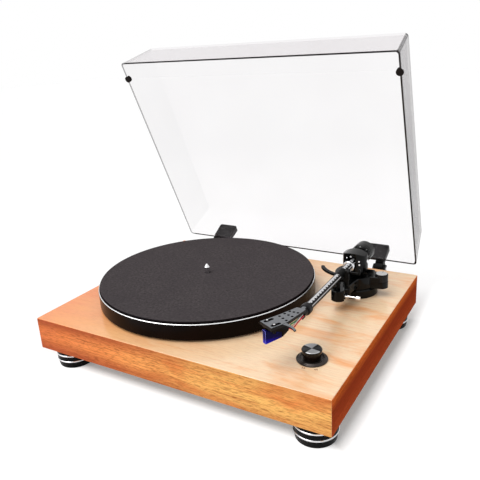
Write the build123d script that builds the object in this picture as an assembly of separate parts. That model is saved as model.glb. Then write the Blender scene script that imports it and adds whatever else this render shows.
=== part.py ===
from build123d import *
import os
from math import cos, pi, radians, sin, tan

# A record player: a wooden plinth on four feet, a belt-driven platter, a gimballed
# tonearm parked in its rest, and a hinged clear dust cover standing open.
# All sizes are in millimetres. X runs to the right and Y to the rear, both from the
# centre of the plinth; Z runs up from the floor. "above the deck" means from DECK up.

# Plinth and feet
PLINTH_W = 412.0
PLINTH_D = 332.0
PLINTH_H = 43.0
FOOT_H = 28.0
DECK = FOOT_H + PLINTH_H
DECK_T = 12.0
WALL_T = 16.0
CORNER_BLOCK = 62.0
COVER_T = 3.0
COVER_LIP = 5.0
PLINTH_BOTTOM = FOOT_H
CAVITY_TOP = DECK - DECK_T
FOOT_X = 176.3
FOOT_Y = (-135.9, 139.4)
FOOT_R = 24.2
FOOT_RING_R = 24.8
FOOT_RING_Z = (9.3, 17.4)
FOOT_RING_T = 2.0
FOOT_PAD_R = 19.0
BOLT_R = 3.0

# Platter, spindle and drive
SPINDLE_X = -45.5
SPINDLE_Y = 3.0
PLATTER_R = 150.0
PLATTER_BOTTOM = DECK + 2.0
PLATTER_TOP = DECK + 23.7
PLATTER_PLATE_T = 5.0
SKIRT_T = 11.0
BELT_RING_R = 66.0
BELT_RING_T = 4.0
MAT_R = 148.2
MAT_TOP = DECK + 26.3
SPINDLE_R = 3.6
SPINDLE_SEAT_R = 3.8
SPINDLE_TOP = DECK + 39.3
JOURNAL_R = 5.0
RUNNING_GAP = 0.05
HOUSING_R = 9.0
HOUSING_BOTTOM = DECK - 36.0
BALL_R = 2.5
MOTOR_REACH = 96.0
MOTOR_ANGLE = radians(215)
MOTOR_X = SPINDLE_X + MOTOR_REACH * cos(MOTOR_ANGLE)
MOTOR_Y = SPINDLE_Y + MOTOR_REACH * sin(MOTOR_ANGLE)
MOTOR_R = 17.5
PULLEY_R = 6.6
MOTOR_SHAFT_R = 1.5
BELT_T = 0.6
BELT_Z = (DECK + 6.5, DECK + 11.5)

# Speed knob
KNOB_X = 159.7
KNOB_Y = -106.0
KNOB_R = 11.3
KNOB_BASE_R = 9.6
KNOB_TOP = DECK + 13.4
FLANGE_R = 17.2
KNOB_SHAFT_R = 3.0

# Tonearm: the swing axis is vertical and the tilt axis runs along X through the tube
ARM_X = 142.1
ARM_Y = 82.5
TUBE_Z = DECK + 44.5
TUBE_R = 4.7
TUBE_BORE = 3.9
TUBE_FRONT = -73.0
SLEEVE_R = 5.2
BASE_R = 30.0
BASE_TOP = DECK + 11.5
BLOCK_R = 27.0
BLOCK_TOP = DECK + 27.5
BEARING_R = 9.0
SHAFT_R = 4.0
DRUM_R = 16.5
DRUM_BOTTOM = DECK + 32.0
DRUM_SHOULDER = DECK + 51.5
DRUM_CROWN = DECK + 58.7
DRUM_WALL = 4.0
DRUM_REAR = 15.0
CROWN_REAR = 5.0
PIVOT_R = 1.5
STUB_R = 5.0
STUB_END = 123.4
DIAL_X = 178.4
DIAL_Y = 82.0
DIAL_R = 8.6
DIAL_TOP = DECK + 30.5
LIFT_X = 142.0
LIFT_Y = 19.0
LIFT_R = 9.0
LIFT_BOTTOM = DECK + 13.5
PLUNGER_R = 2.5
BOW_R = 44.0
BOW_TOP = DECK + 38.7
BOW_H = 3.0
BOW_W = 4.6
LEVER_PIVOT_X = 147.5
LEVER_Z = DECK + 19.6
REST_Y = (23.5, 29.5)
LATCH_PIVOT = (150.2, 49.3)
WEIGHT_R = 13.5
WEIGHT_Y = (104.5, 123.5)
WEIGHT_BORE = 7.05
FORCE_DIAL_R = 12.9
FORCE_DIAL_Y = (100.0, 104.2)

# Headshell: its front end is turned towards the platter by the offset angle
HEADSHELL_X = 122.15
HEADSHELL_Y = -138.85
OFFSET_ANGLE = 27.5
SHELL_TOP = DECK + 49.0
SHELL_BOTTOM = DECK + 45.7
SHELL_FRONT_W = 21.0
STYLUS_TOP = DECK + 35.2
SCREW_PITCH = 12.7

# Dust cover, given as it lies closed; the hinge axis is behind the plinth
COVER_W = 400.5
COVER_FRONT = -159.0
COVER_REAR = 170.9
COVER_RIM = DECK + 1.5
COVER_H = 62.2
COVER_WALL = 2.0
BUMPER_R = 4.5
COVER_TAPER = (6.9, 8.1, 6.3)
HINGE_Y = 182.0
HINGE_Z = DECK - 4.1
OPEN_ANGLE = 65.9
HINGE_X = 146.0
BARREL_R = 9.0
BARREL_L = 12.0
PIN_R = 2.5

# Rear sockets
PANEL_W = 100.0
PANEL_H = 24.0
PANEL_Z = DECK - 22.0
PHONO_R = 4.15
PHONO_SEAT_R = 4.6

UP = (Align.CENTER, Align.CENTER, Align.MIN)


def disc(radius, low, high, x=0.0, y=0.0):
    """An upright cylinder between two heights."""
    return Pos(x, y, low) * Cylinder(radius, high - low, align=UP)


def ring(outer, inner, low, high, x=0.0, y=0.0):
    """An upright ring between two heights."""
    return disc(outer, low, high, x, y) - disc(inner, low - 1, high + 1, x, y)


def turned(points, x=0.0, y=0.0):
    """A turned piece from its half outline, given as (radius, height) points."""
    outline = make_face(Polyline(*points, close=True))
    return Pos(x, y, 0) * revolve(Plane.XZ * outline, Axis.Z)


def turned_on_arm(points):
    """A piece turned about the arm's own axis, from (radius, Y) points."""
    outline = make_face(Polyline(*points, close=True))
    return Pos(ARM_X, 0, TUBE_Z) * Rot(-90, 0, 0) * revolve(Plane.XZ * outline, Axis.Z)


def rod_x(radius, x0, x1, y, z):
    """A cylinder along X."""
    return Pos(x0, y, z) * Rot(0, 90, 0) * Cylinder(radius, x1 - x0, align=UP)


def rod_y(radius, y0, y1, x, z):
    """A cylinder along Y."""
    return Pos(x, y0, z) * Rot(-90, 0, 0) * Cylinder(radius, y1 - y0, align=UP)


def block(x0, x1, y0, y1, z0, z1):
    """A box between corners."""
    return Pos((x0 + x1) / 2, (y0 + y1) / 2, (z0 + z1) / 2) * Box(x1 - x0, y1 - y0, z1 - z0)


def hull(*circles):
    """The outline that a belt round (x, y, radius) circles would take."""
    edges = []
    for x, y, radius in circles:
        edges += (Pos(x, y) * Circle(radius)).edges()
    return make_hull(edges)


def prism(face, low, high):
    """A flat face raised between two heights."""
    return Pos(0, 0, low) * extrude(face, high - low)


def bevelled(face, low, high, bevel=0.8):
    """A prism with a bevel round its top edge."""
    body = prism(face, low, high)
    return chamfer(body.faces().sort_by(Axis.Z)[-1].edges(), bevel)


def corners(x, ys):
    """The four places of a set that is mirrored left and right."""
    return [(side * x, y) for y in ys for side in (-1, 1)]


# Plinth, bottom cover and feet

def cavity_outline(grow=0.0):
    """The hollow under the deck, which leaves a block of wood over each foot."""
    inner_w = PLINTH_W - 2 * WALL_T + 2 * grow
    inner_d = PLINTH_D - 2 * WALL_T + 2 * grow
    face = Rectangle(inner_w, inner_d)
    for x, y in corners(PLINTH_W / 2, (-PLINTH_D / 2, PLINTH_D / 2)):
        face -= Pos(x, y) * Rectangle(2 * (CORNER_BLOCK - grow), 2 * (CORNER_BLOCK - grow))
    return face


def make_plinth():
    body = Pos(0, 0, PLINTH_BOTTOM) * Box(PLINTH_W, PLINTH_D, PLINTH_H, align=UP)
    body = fillet(body.edges().filter_by(Axis.Z), 1.5)
    body = chamfer(body.faces().sort_by(Axis.Z)[-1].edges(), 0.8)
    body -= prism(cavity_outline(), PLINTH_BOTTOM - 1, CAVITY_TOP)
    body -= prism(cavity_outline(COVER_LIP), PLINTH_BOTTOM - 1, PLINTH_BOTTOM + COVER_T)
    body -= disc(HOUSING_R, CAVITY_TOP - 1, DECK + 1, SPINDLE_X, SPINDLE_Y)
    body -= disc(8.0, CAVITY_TOP - 1, DECK + 1, MOTOR_X, MOTOR_Y)
    body -= disc(12.0, CAVITY_TOP - 1, DECK + 1, ARM_X, ARM_Y)
    body -= disc(5.0, CAVITY_TOP - 1, DECK + 1, KNOB_X, KNOB_Y)
    for x, y in corners(FOOT_X, FOOT_Y):
        body -= disc(BOLT_R, PLINTH_BOTTOM - 1, PLINTH_BOTTOM + 16, x, y)
    body -= block(KNOB_X - 13, KNOB_X + 13, KNOB_Y - 13, KNOB_Y + 13, PLINTH_BOTTOM + 10, CAVITY_TOP)
    rear = PLINTH_D / 2
    body -= block(-PANEL_W / 2, PANEL_W / 2, rear - 1.5, rear + 1,
                  PANEL_Z - PANEL_H / 2, PANEL_Z + PANEL_H / 2)
    body -= block(-PANEL_W / 2 + 5, PANEL_W / 2 - 5, rear - WALL_T - 1, rear,
                  PANEL_Z - PANEL_H / 2 + 4, PANEL_Z + PANEL_H / 2 - 4)
    for fastener in make_case_screws():
        body -= fastener
    return body


def make_bottom_cover():
    cover = prism(cavity_outline(COVER_LIP - 0.3), PLINTH_BOTTOM, PLINTH_BOTTOM + COVER_T)
    for x, y in cover_screw_places():
        cover -= disc(1.6, PLINTH_BOTTOM - 1, PLINTH_BOTTOM + COVER_T + 1, x, y)
    for i in range(7):
        slot = Pos(-60 + 12 * i, -60) * SlotOverall(40, 4, rotation=90)
        cover -= prism(slot, PLINTH_BOTTOM - 1, PLINTH_BOTTOM + COVER_T + 1)
    return cover


def cover_screw_places():
    half_w = PLINTH_W / 2 - WALL_T + COVER_LIP / 2
    half_d = PLINTH_D / 2 - WALL_T + COVER_LIP / 2
    sides = [(side * half_w, y) for side in (-1, 1) for y in (-60, 60)]
    ends = [(x, side * half_d) for side in (-1, 1) for x in (-90, 90)]
    return sides + ends


def foot_profile():
    """Half outline of a foot, with a groove for each bright ring and a recess for the pad."""
    points = [(BOLT_R + 0.2, 8.0), (6.5, 8.0), (6.5, 3.0), (FOOT_PAD_R, 3.0), (FOOT_PAD_R, 0.6)]
    points += [(22.4, 0.6), (22.8, 1.2), (FOOT_R, FOOT_RING_Z[0] - 0.6)]
    for z in FOOT_RING_Z:
        points += [(FOOT_R, z), (FOOT_R - 1.2, z)]
        points += [(FOOT_R - 1.2, z + FOOT_RING_T), (FOOT_R, z + FOOT_RING_T)]
    points += [(FOOT_R, 22.0), (FOOT_R - 1.4, 23.5), (FOOT_R - 1.4, FOOT_H), (BOLT_R + 0.2, FOOT_H)]
    return points


def make_feet():
    return [turned(foot_profile(), x, y) for x, y in corners(FOOT_X, FOOT_Y)]


def make_foot_rings():
    band = (FOOT_R - 1.2, FOOT_RING_R)
    rings = []
    for x, y in corners(FOOT_X, FOOT_Y):
        for z in FOOT_RING_Z:
            rings.append(turned([(band[0], z), (band[1] - 0.4, z), (band[1], z + 0.4),
                                 (band[1], z + FOOT_RING_T - 0.4), (band[1] - 0.4, z + FOOT_RING_T),
                                 (band[0], z + FOOT_RING_T)], x, y))
    return rings


def make_foot_pads():
    return [turned([(0, 0), (FOOT_PAD_R - 1, 0), (FOOT_PAD_R - 0.1, 0.8),
                    (FOOT_PAD_R - 0.1, 2.8), (0, 2.8)], x, y)
            for x, y in corners(FOOT_X, FOOT_Y)]


def make_foot_bolts():
    return [disc(5.5, 3.2, 8.0, x, y) + disc(BOLT_R, 8.0, PLINTH_BOTTOM + 15, x, y)
            for x, y in corners(FOOT_X, FOOT_Y)]


# Platter, spindle and drive

def make_platter():
    rim = PLATTER_R
    skirt = rim - SKIRT_T
    plate_under = PLATTER_TOP - PLATTER_PLATE_T
    outline = [(14, DECK + 9), (16, DECK + 9), (18, plate_under),
               (BELT_RING_R - BELT_RING_T, plate_under), (BELT_RING_R - BELT_RING_T, DECK + 5),
               (BELT_RING_R, DECK + 5), (BELT_RING_R, plate_under),
               (skirt, plate_under), (skirt + 3, PLATTER_BOTTOM), (rim - 1, PLATTER_BOTTOM),
               (rim, PLATTER_BOTTOM + 1), (rim, DECK + 22.0), (rim - 1.4, PLATTER_TOP),
               (0, PLATTER_TOP), (0, DECK + 9)]
    body = turned(outline, SPINDLE_X, SPINDLE_Y)
    for i in range(6):
        angle = 60 * i + 30
        rib = block(BELT_RING_R - 0.5, skirt + 0.5, -2, 2, plate_under - 3.6, plate_under + 0.5)
        body += Pos(SPINDLE_X, SPINDLE_Y, 0) * Rot(0, 0, angle) * rib
    body -= disc(JOURNAL_R, DECK, DECK + 19, SPINDLE_X, SPINDLE_Y)
    body -= disc(SPINDLE_SEAT_R, DECK + 18, PLATTER_TOP + 1, SPINDLE_X, SPINDLE_Y)
    return body


def make_platter_mat():
    hole = SPINDLE_SEAT_R + 0.3
    outline = [(hole, PLATTER_TOP), (MAT_R, PLATTER_TOP), (MAT_R + 0.3, PLATTER_TOP + 1.3),
               (MAT_R - 0.4, MAT_TOP), (hole, MAT_TOP)]
    return turned(outline, SPINDLE_X, SPINDLE_Y)


def make_spindle():
    """The journal in the bush, a seat in the platter, and a pin for the record above a relief."""
    foot = DECK - 33 + 2 * BALL_R
    relief = SPINDLE_R - 0.2
    outline = [(0, foot), (2.9, foot), (3.3, foot + 0.4), (3.3, DECK - 26.4), (JOURNAL_R, DECK - 25.8),
               (JOURNAL_R, DECK + 19), (SPINDLE_SEAT_R, DECK + 19), (SPINDLE_SEAT_R, PLATTER_TOP + 0.6),
               (relief, PLATTER_TOP + 0.6), (relief, MAT_TOP + 0.2), (SPINDLE_R, MAT_TOP + 0.2),
               (SPINDLE_R, SPINDLE_TOP - 4.8), (1.0, SPINDLE_TOP - 0.4), (0, SPINDLE_TOP)]
    return turned(outline, SPINDLE_X, SPINDLE_Y)


def make_bearing_housing():
    outline = [(0, HOUSING_BOTTOM), (HOUSING_R - 1, HOUSING_BOTTOM), (HOUSING_R, HOUSING_BOTTOM + 1),
               (HOUSING_R, DECK), (20, DECK), (20, DECK + 2), (HOUSING_R, DECK + 2),
               (HOUSING_R, DECK + 6), (7, DECK + 6), (7, DECK - 27), (4, DECK - 27),
               (4, DECK - 33), (0, DECK - 33)]
    return turned(outline, SPINDLE_X, SPINDLE_Y)


def make_bearing_bush():
    return ring(7, JOURNAL_R + RUNNING_GAP, DECK - 26.9, DECK + 6, SPINDLE_X, SPINDLE_Y)


def make_thrust_ball():
    return Pos(SPINDLE_X, SPINDLE_Y, DECK - 33 + BALL_R) * Sphere(BALL_R)


def make_motor():
    can = turned([(0, DECK - 38), (MOTOR_R - 1, DECK - 38), (MOTOR_R, DECK - 37),
                  (MOTOR_R, DECK - 14), (23, DECK - 14), (23, DECK - 12), (6, DECK - 12),
                  (6, DECK - 3), (0, DECK - 3)], MOTOR_X, MOTOR_Y)
    can -= disc(MOTOR_SHAFT_R + RUNNING_GAP, DECK - 30, DECK, MOTOR_X, MOTOR_Y)
    for x, y in motor_screw_places():
        can -= disc(1.5, DECK - 15, DECK - 11, x, y)
    return can


def motor_screw_places():
    return [(MOTOR_X + 20 * cos(2 * pi * i / 3), MOTOR_Y + 20 * sin(2 * pi * i / 3))
            for i in range(3)]


def make_motor_shaft():
    return disc(MOTOR_SHAFT_R, DECK - 29.5, DECK + 14, MOTOR_X, MOTOR_Y)


def make_motor_pulley():
    outline = [(MOTOR_SHAFT_R, DECK + 3), (8.4, DECK + 3), (8.4, DECK + 4), (PULLEY_R, DECK + 5.4),
               (PULLEY_R, DECK + 12.2), (8.4, DECK + 13), (8.4, DECK + 14), (MOTOR_SHAFT_R, DECK + 14)]
    return turned(outline, MOTOR_X, MOTOR_Y)


def make_drive_belt():
    """A flat loop round the platter's inner ring and the pulley."""
    inner = hull((SPINDLE_X, SPINDLE_Y, BELT_RING_R + RUNNING_GAP),
                 (MOTOR_X, MOTOR_Y, PULLEY_R + RUNNING_GAP))
    outer = hull((SPINDLE_X, SPINDLE_Y, BELT_RING_R + RUNNING_GAP + BELT_T),
                 (MOTOR_X, MOTOR_Y, PULLEY_R + RUNNING_GAP + BELT_T))
    return prism(outer, *BELT_Z) - prism(inner, BELT_Z[0] - 1, BELT_Z[1] + 1)


# Speed knob, switch and board

def make_knob_flange():
    outline = [(5.2, DECK), (FLANGE_R - 0.2, DECK), (FLANGE_R, DECK + 0.4), (FLANGE_R, DECK + 1.2),
               (FLANGE_R - 2.6, DECK + 2.8), (13.4, DECK + 2.8), (12.4, DECK + 1.4), (5.2, DECK + 1.4)]
    return turned(outline, KNOB_X, KNOB_Y)


def make_speed_knob():
    """The knob with its grip slightly wider at the top, and the stem that turns the switch."""
    outline = [(0, DECK - 10), (KNOB_SHAFT_R, DECK - 10), (KNOB_SHAFT_R, DECK + 1.9),
               (KNOB_BASE_R, DECK + 1.9), (KNOB_R, KNOB_TOP - 1.2), (KNOB_R - 0.9, KNOB_TOP),
               (0.8, KNOB_TOP - 0.25), (0, KNOB_TOP - 0.25)]
    return turned(outline, KNOB_X, KNOB_Y)


def make_speed_switch():
    case = Pos(KNOB_X, KNOB_Y, DECK - 26) * Box(18, 18, 12, align=UP)
    case += disc(4.6, DECK - 14, DECK - 0.4, KNOB_X, KNOB_Y)
    return case - disc(KNOB_SHAFT_R + RUNNING_GAP, DECK - 10.5, DECK, KNOB_X, KNOB_Y)


def make_control_board():
    """The motor and sound board on four posts, with its tall parts."""
    z = PLINTH_BOTTOM + COVER_T
    x0, y0 = 20.0, 60.0
    board = block(x0, x0 + 84, y0, y0 + 56, z + 6, z + 7.6)
    for x in (x0 + 5, x0 + 79):
        for y in (y0 + 5, y0 + 51):
            board += disc(3, z, z + 6, x, y)
    for i in range(3):
        board += disc(4, z + 7.6, z + 18, x0 + 14 + 12 * i, y0 + 40)
    board += block(x0 + 50, x0 + 70, y0 + 18, y0 + 34, z + 7.6, z + 11)
    board += block(x0 + 12, x0 + 34, y0 + 12, y0 + 22, z + 7.6, z + 16)
    return board


# Rear sockets

def socket_places():
    return {"ground": -14.0, "left": 16.0, "right": 32.0, "power": -36.0}


def make_terminal_panel():
    rear = PLINTH_D / 2
    panel = block(-PANEL_W / 2 + 0.2, PANEL_W / 2 - 0.2, rear - 1.5, rear,
                  PANEL_Z - PANEL_H / 2 + 0.2, PANEL_Z + PANEL_H / 2 - 0.2)
    places = socket_places()
    for name, radius in (("left", PHONO_SEAT_R), ("right", PHONO_SEAT_R), ("ground", 2.0), ("power", 4.4)):
        panel -= rod_y(radius, rear - 3, rear + 1, places[name], PANEL_Z)
    for x in (-PANEL_W / 2 + 2.5, PANEL_W / 2 - 2.5):
        panel -= rod_y(1.2, rear - 3, rear + 1, x, PANEL_Z)
    return panel


def make_phono_socket(x):
    """A socket whose shell stands out behind the panel, with a short relief at its root."""
    rear = PLINTH_D / 2
    body = rod_y(PHONO_R, rear + 0.6, rear + 9, x, PANEL_Z)
    body = chamfer(body.faces().sort_by(Axis.Y)[-1].edges(), 0.4)
    body += rod_y(PHONO_R - 0.3, rear - 1, rear + 1, x, PANEL_Z)
    body += rod_y(PHONO_SEAT_R, rear - 1.5, rear, x, PANEL_Z)
    body += rod_y(5.6, rear - 9, rear - 1.5, x, PANEL_Z)
    return body - rod_y(1.6, rear, rear + 10, x, PANEL_Z)


def make_ground_post():
    rear = PLINTH_D / 2
    x = socket_places()["ground"]
    return rod_y(2.0, rear - 1.5, rear + 10, x, PANEL_Z) + rod_y(4.5, rear - 4, rear - 1.5, x, PANEL_Z)


def make_ground_nut():
    rear = PLINTH_D / 2
    x = socket_places()["ground"]
    nut = RegularPolygon(4.4, 12)
    body = Pos(x, rear + 3, PANEL_Z) * Rot(-90, 0, 0) * extrude(nut, 5)
    return body - rod_y(2.0 + RUNNING_GAP, rear, rear + 12, x, PANEL_Z)


def make_power_socket():
    rear = PLINTH_D / 2
    x = socket_places()["power"]
    body = rod_y(4.4, rear - 1.5, rear + 0.6, x, PANEL_Z)
    body += block(x - 5, x + 5, rear - 13, rear - 1.5, PANEL_Z - 5.5, PANEL_Z + 5.5)
    body -= rod_y(2.8, rear - 9, rear + 1, x, PANEL_Z)
    return body + rod_y(1.0, rear - 9, rear - 0.5, x, PANEL_Z)


def screw(x, y, z, turn, length=7.0):
    """A small pan-head screw; turn lays its head's outward direction."""
    shape = Cylinder(1.2, length, align=(Align.CENTER, Align.CENTER, Align.MAX)) + Cylinder(2.2, 1.4, align=UP)
    return Pos(x, y, z) * turn * shape


def make_case_screws():
    """All small screws of the case: bottom cover, motor, terminal panel and hinges."""
    down = Rot(180, 0, 0)
    back = Rot(-90, 0, 0)
    rear = PLINTH_D / 2
    screws = [screw(x, y, PLINTH_BOTTOM, down) for x, y in cover_screw_places()]
    screws += [screw(x, y, DECK - 14, down, 8.0) for x, y in motor_screw_places()]
    screws += [screw(x, rear, PANEL_Z, back) for x in (-PANEL_W / 2 + 2.5, PANEL_W / 2 - 2.5)]
    screws += [screw(side * HINGE_X + dx, rear + 3, DECK - 24, back)
               for side in (-1, 1) for dx in (-11, 11)]
    return screws


# Tonearm: fixed pieces

def make_arm_base():
    outline = [(SHAFT_R + 1, DECK), (BASE_R - 0.4, DECK), (BASE_R, DECK + 0.4),
               (BASE_R, BASE_TOP - 1.6), (BASE_R - 1.6, BASE_TOP), (SHAFT_R + 1, BASE_TOP)]
    return turned(outline, ARM_X, ARM_Y) + ring(12, 8, DECK - 20, DECK, ARM_X, ARM_Y)


def make_arm_base_nut():
    nut = Pos(ARM_X, ARM_Y, DECK - 17) * extrude(RegularPolygon(19, 6), 5)
    return nut - disc(12, DECK - 18, DECK - 11, ARM_X, ARM_Y)


def make_arm_block():
    """The lobed casting that carries the arm, the lift pillar and the side-force dial."""
    web_low = DECK + 16
    body = bevelled(Pos(ARM_X, ARM_Y) * Circle(BLOCK_R), BASE_TOP, BLOCK_TOP)
    body += bevelled(hull((ARM_X + 8, ARM_Y, 14), (DIAL_X, DIAL_Y, DIAL_R)), BASE_TOP, BLOCK_TOP)
    body += bevelled(hull((LIFT_X, LIFT_Y, 7), (ARM_X + 4, 62, 9)), web_low, BLOCK_TOP)
    body += bevelled(hull((LIFT_X + 2, LIFT_Y + 8, 6), (151.2, 26.5, 4)), web_low, BLOCK_TOP)
    body += bevelled(Pos(LIFT_X, LIFT_Y) * Circle(LIFT_R), LIFT_BOTTOM, BLOCK_TOP)
    body -= block(ARM_X - 40, ARM_X + 50, ARM_Y + 14, ARM_Y + 60, DECK + 20, BLOCK_TOP + 1)
    body -= disc(DIAL_R + 0.4, DECK + 20, BLOCK_TOP + 1, DIAL_X, DIAL_Y)
    body -= disc(2.05, DECK + 13, DECK + 21, DIAL_X, DIAL_Y)
    body -= disc(BEARING_R, BASE_TOP - 1, BLOCK_TOP + 1, ARM_X, ARM_Y)
    body -= disc(PLUNGER_R + RUNNING_GAP, LIFT_BOTTOM + 0.7, BLOCK_TOP + 1, LIFT_X, LIFT_Y)
    body -= block(LEVER_PIVOT_X - 3.6, LIFT_X + LIFT_R + 1, LIFT_Y - 2.3, LIFT_Y + 2.3,
                  LIFT_BOTTOM - 1, LEVER_Z + 3.4)
    body -= rod_y(1.2 + RUNNING_GAP, LIFT_Y - 5.5, LIFT_Y + 5.5, LEVER_PIVOT_X, LEVER_Z)
    return body


def make_swing_bearings():
    low = ring(BEARING_R, SHAFT_R + RUNNING_GAP, BASE_TOP + 1, BASE_TOP + 5, ARM_X, ARM_Y)
    high = ring(BEARING_R, SHAFT_R + RUNNING_GAP, BLOCK_TOP - 4.5, BLOCK_TOP - 0.5, ARM_X, ARM_Y)
    return [low, high]


def make_arm_rest():
    """A post with a saddle under the tube, open towards the platter, and a tall outer horn."""
    y0, y1 = REST_Y
    shape = [(136.8, 35.8), (136.8, 38.6), (142.1, 38.6), (146.5, 41.0), (147.9, 44.5), (147.9, 49.0),
             (148.6, 51.4), (151.8, 51.4), (152.6, 49.3), (153.2, 44.0), (153.2, 38.0), (151.0, 35.8)]
    face = make_face(Polyline(*[(x, z + DECK) for x, z in shape], close=True))
    saddle = Pos(0, y1, 0) * extrude(Plane.XZ * face, y1 - y0)
    saddle -= rod_y(5.75, y0 - 1, y1 + 1, ARM_X, TUBE_Z)
    saddle += disc(2.4, BLOCK_TOP, DECK + 38, 150.6, 26.5)
    saddle += disc(3.4, BLOCK_TOP, BLOCK_TOP + 1.6, 150.6, 26.5)
    pin_x, pin_z = LATCH_PIVOT
    return saddle + rod_y(1.2, y1 - 1, y1 + 3.4, pin_x, DECK + pin_z)


# Tonearm: moving pieces

def make_gimbal_housing():
    """The drum that swings: round in plan with a flat rear, arched over the tube, open front and rear."""
    drum = disc(DRUM_R, DRUM_BOTTOM, DRUM_CROWN + 1, ARM_X, ARM_Y)
    half = DRUM_R + 1.5
    arch = make_face([
        Line((-half, DRUM_SHOULDER), (-half, DRUM_BOTTOM)),
        Line((-half, DRUM_BOTTOM), (half, DRUM_BOTTOM)),
        Line((half, DRUM_BOTTOM), (half, DRUM_SHOULDER)),
        ThreePointArc((half, DRUM_SHOULDER), (0, DRUM_CROWN), (-half, DRUM_SHOULDER)),
    ])
    drum &= Pos(ARM_X, ARM_Y + DRUM_REAR, 0) * extrude(Plane.XZ * arch, DRUM_REAR + DRUM_R + 1)
    drum -= block(ARM_X - half, ARM_X + half, ARM_Y + CROWN_REAR, ARM_Y + DRUM_R, DECK + 50, DRUM_CROWN + 1)
    drum -= disc(DRUM_R - DRUM_WALL, DRUM_BOTTOM + 3, DECK + 54, ARM_X, ARM_Y)
    drum += disc(10, BLOCK_TOP + 0.5, DRUM_BOTTOM, ARM_X, ARM_Y)
    front = (DRUM_R - DRUM_WALL) / 2
    drum -= block(ARM_X - 5.6, ARM_X + 5.6, ARM_Y - DRUM_R - 1, ARM_Y - front, TUBE_Z - 5.6, TUBE_Z + 9.5)
    drum -= block(ARM_X - 5.6, ARM_X + 5.6, ARM_Y + front, ARM_Y + DRUM_R + 1, TUBE_Z - 9.5, TUBE_Z + 5.6)
    drum -= disc(SHAFT_R, DRUM_BOTTOM - 5, DRUM_BOTTOM + 5, ARM_X, ARM_Y)
    for pivot in make_tilt_pivots():
        drum -= pivot
    return drum


def make_swing_shaft():
    return disc(SHAFT_R, DECK + 8, DRUM_BOTTOM + 3, ARM_X, ARM_Y)


def make_tilt_pivots():
    """Two pivot screws through the drum's sides, on the tilt axis."""
    pivots = []
    for side in (-1, 1):
        low, high = sorted((ARM_X + side * 5.6, ARM_X + side * (DRUM_R - 0.2)))
        pivot = rod_x(PIVOT_R, low, high, ARM_Y, TUBE_Z)
        low, high = sorted((ARM_X + side * (DRUM_R - 1.8), ARM_X + side * (DRUM_R + 0.3)))
        pivots.append(pivot + rod_x(2.8, low, high, ARM_Y, TUBE_Z))
    return pivots


def make_gimbal_core():
    core = Pos(ARM_X, ARM_Y, TUBE_Z) * Box(15, 16, 14)
    core = fillet(core.edges().filter_by(Axis.Y), 2.0)
    core -= rod_x(PIVOT_R + RUNNING_GAP, ARM_X - 8, ARM_X - 5.4, ARM_Y, TUBE_Z)
    core -= rod_x(PIVOT_R + RUNNING_GAP, ARM_X + 5.4, ARM_X + 8, ARM_Y, TUBE_Z)
    core -= rod_y(TUBE_R, ARM_Y - 9, ARM_Y - 3, ARM_X, TUBE_Z)
    return core - rod_y(STUB_R, ARM_Y + 3, ARM_Y + 9, ARM_X, TUBE_Z)


def make_arm_tube():
    """The straight arm tube with the sleeve at its front end that takes the headshell."""
    rear = ARM_Y - 3
    front = TUBE_FRONT
    return turned_on_arm([(TUBE_BORE, front - 9.5), (SLEEVE_R, front - 9.5), (SLEEVE_R, front + 1),
                          (TUBE_R, front + 2), (TUBE_R, rear), (TUBE_BORE, rear)])


def make_tube_bushing():
    return turned_on_arm([(TUBE_R, 53.5), (6.6, 53.5), (7.4, 54.6), (7.4, 57.6), (6.2, 58.6), (TUBE_R, 58.6)])


def make_rest_sleeve():
    return turned_on_arm([(TUBE_R, 16), (5.1, 16), (5.3, 16.4), (5.3, 35.6), (5.1, 36), (TUBE_R, 36)])


def make_rear_stub():
    return rod_y(STUB_R, ARM_Y + 3, STUB_END, ARM_X, TUBE_Z)


def make_counterweight_insert():
    low, high = FORCE_DIAL_Y[0], WEIGHT_Y[1] - 1.5
    return turned_on_arm([(STUB_R + RUNNING_GAP, low), (WEIGHT_BORE - RUNNING_GAP, low),
                          (WEIGHT_BORE - RUNNING_GAP, high), (STUB_R + RUNNING_GAP, high)])


def make_counterweight():
    y0, y1 = WEIGHT_Y
    return turned_on_arm([(WEIGHT_BORE, FORCE_DIAL_Y[0]), (9.5, FORCE_DIAL_Y[0]), (9.5, y0),
                          (WEIGHT_R - 0.8, y0), (WEIGHT_R, y0 + 0.8), (WEIGHT_R, y0 + 3.2),
                          (WEIGHT_R - 0.7, y0 + 3.8), (WEIGHT_R - 0.7, y0 + 4.8), (WEIGHT_R, y0 + 5.4),
                          (WEIGHT_R, y1 - 1.6), (WEIGHT_R - 1.6, y1), (WEIGHT_BORE, y1)])


def make_force_dial():
    y0, y1 = FORCE_DIAL_Y
    return turned_on_arm([(9.55, y0), (FORCE_DIAL_R - 2.0, y0), (FORCE_DIAL_R, y0 + 2.2),
                          (FORCE_DIAL_R, y1 - 0.3), (FORCE_DIAL_R - 0.3, y1), (9.55, y1)])


def make_locking_ring():
    """The rounded ring that draws the headshell's plug into the tube's sleeve."""
    bore = SLEEVE_R + RUNNING_GAP
    front = TUBE_FRONT - 11.5
    return turned_on_arm([(bore, front), (5.8, front), (6.4, front + 0.7), (6.7, front + 2.0),
                          (6.7, front + 5.6), (6.4, front + 5.9), (6.4, front + 6.5), (6.7, front + 6.8),
                          (6.5, front + 8.4), (6.0, front + 9.4), (bore, front + 9.4)])


def headshell_frame():
    """Local frame at the middle of the headshell's front edge, +Y towards its rear."""
    return Pos(HEADSHELL_X, HEADSHELL_Y, 0) * Rot(0, 0, -OFFSET_ANGLE)


def shell_point(x, y, z=0.0):
    """A point of the headshell's local frame in the plinth's frame."""
    turn = radians(OFFSET_ANGLE)
    return (HEADSHELL_X + x * cos(turn) + y * sin(turn), HEADSHELL_Y - x * sin(turn) + y * cos(turn), z)


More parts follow.
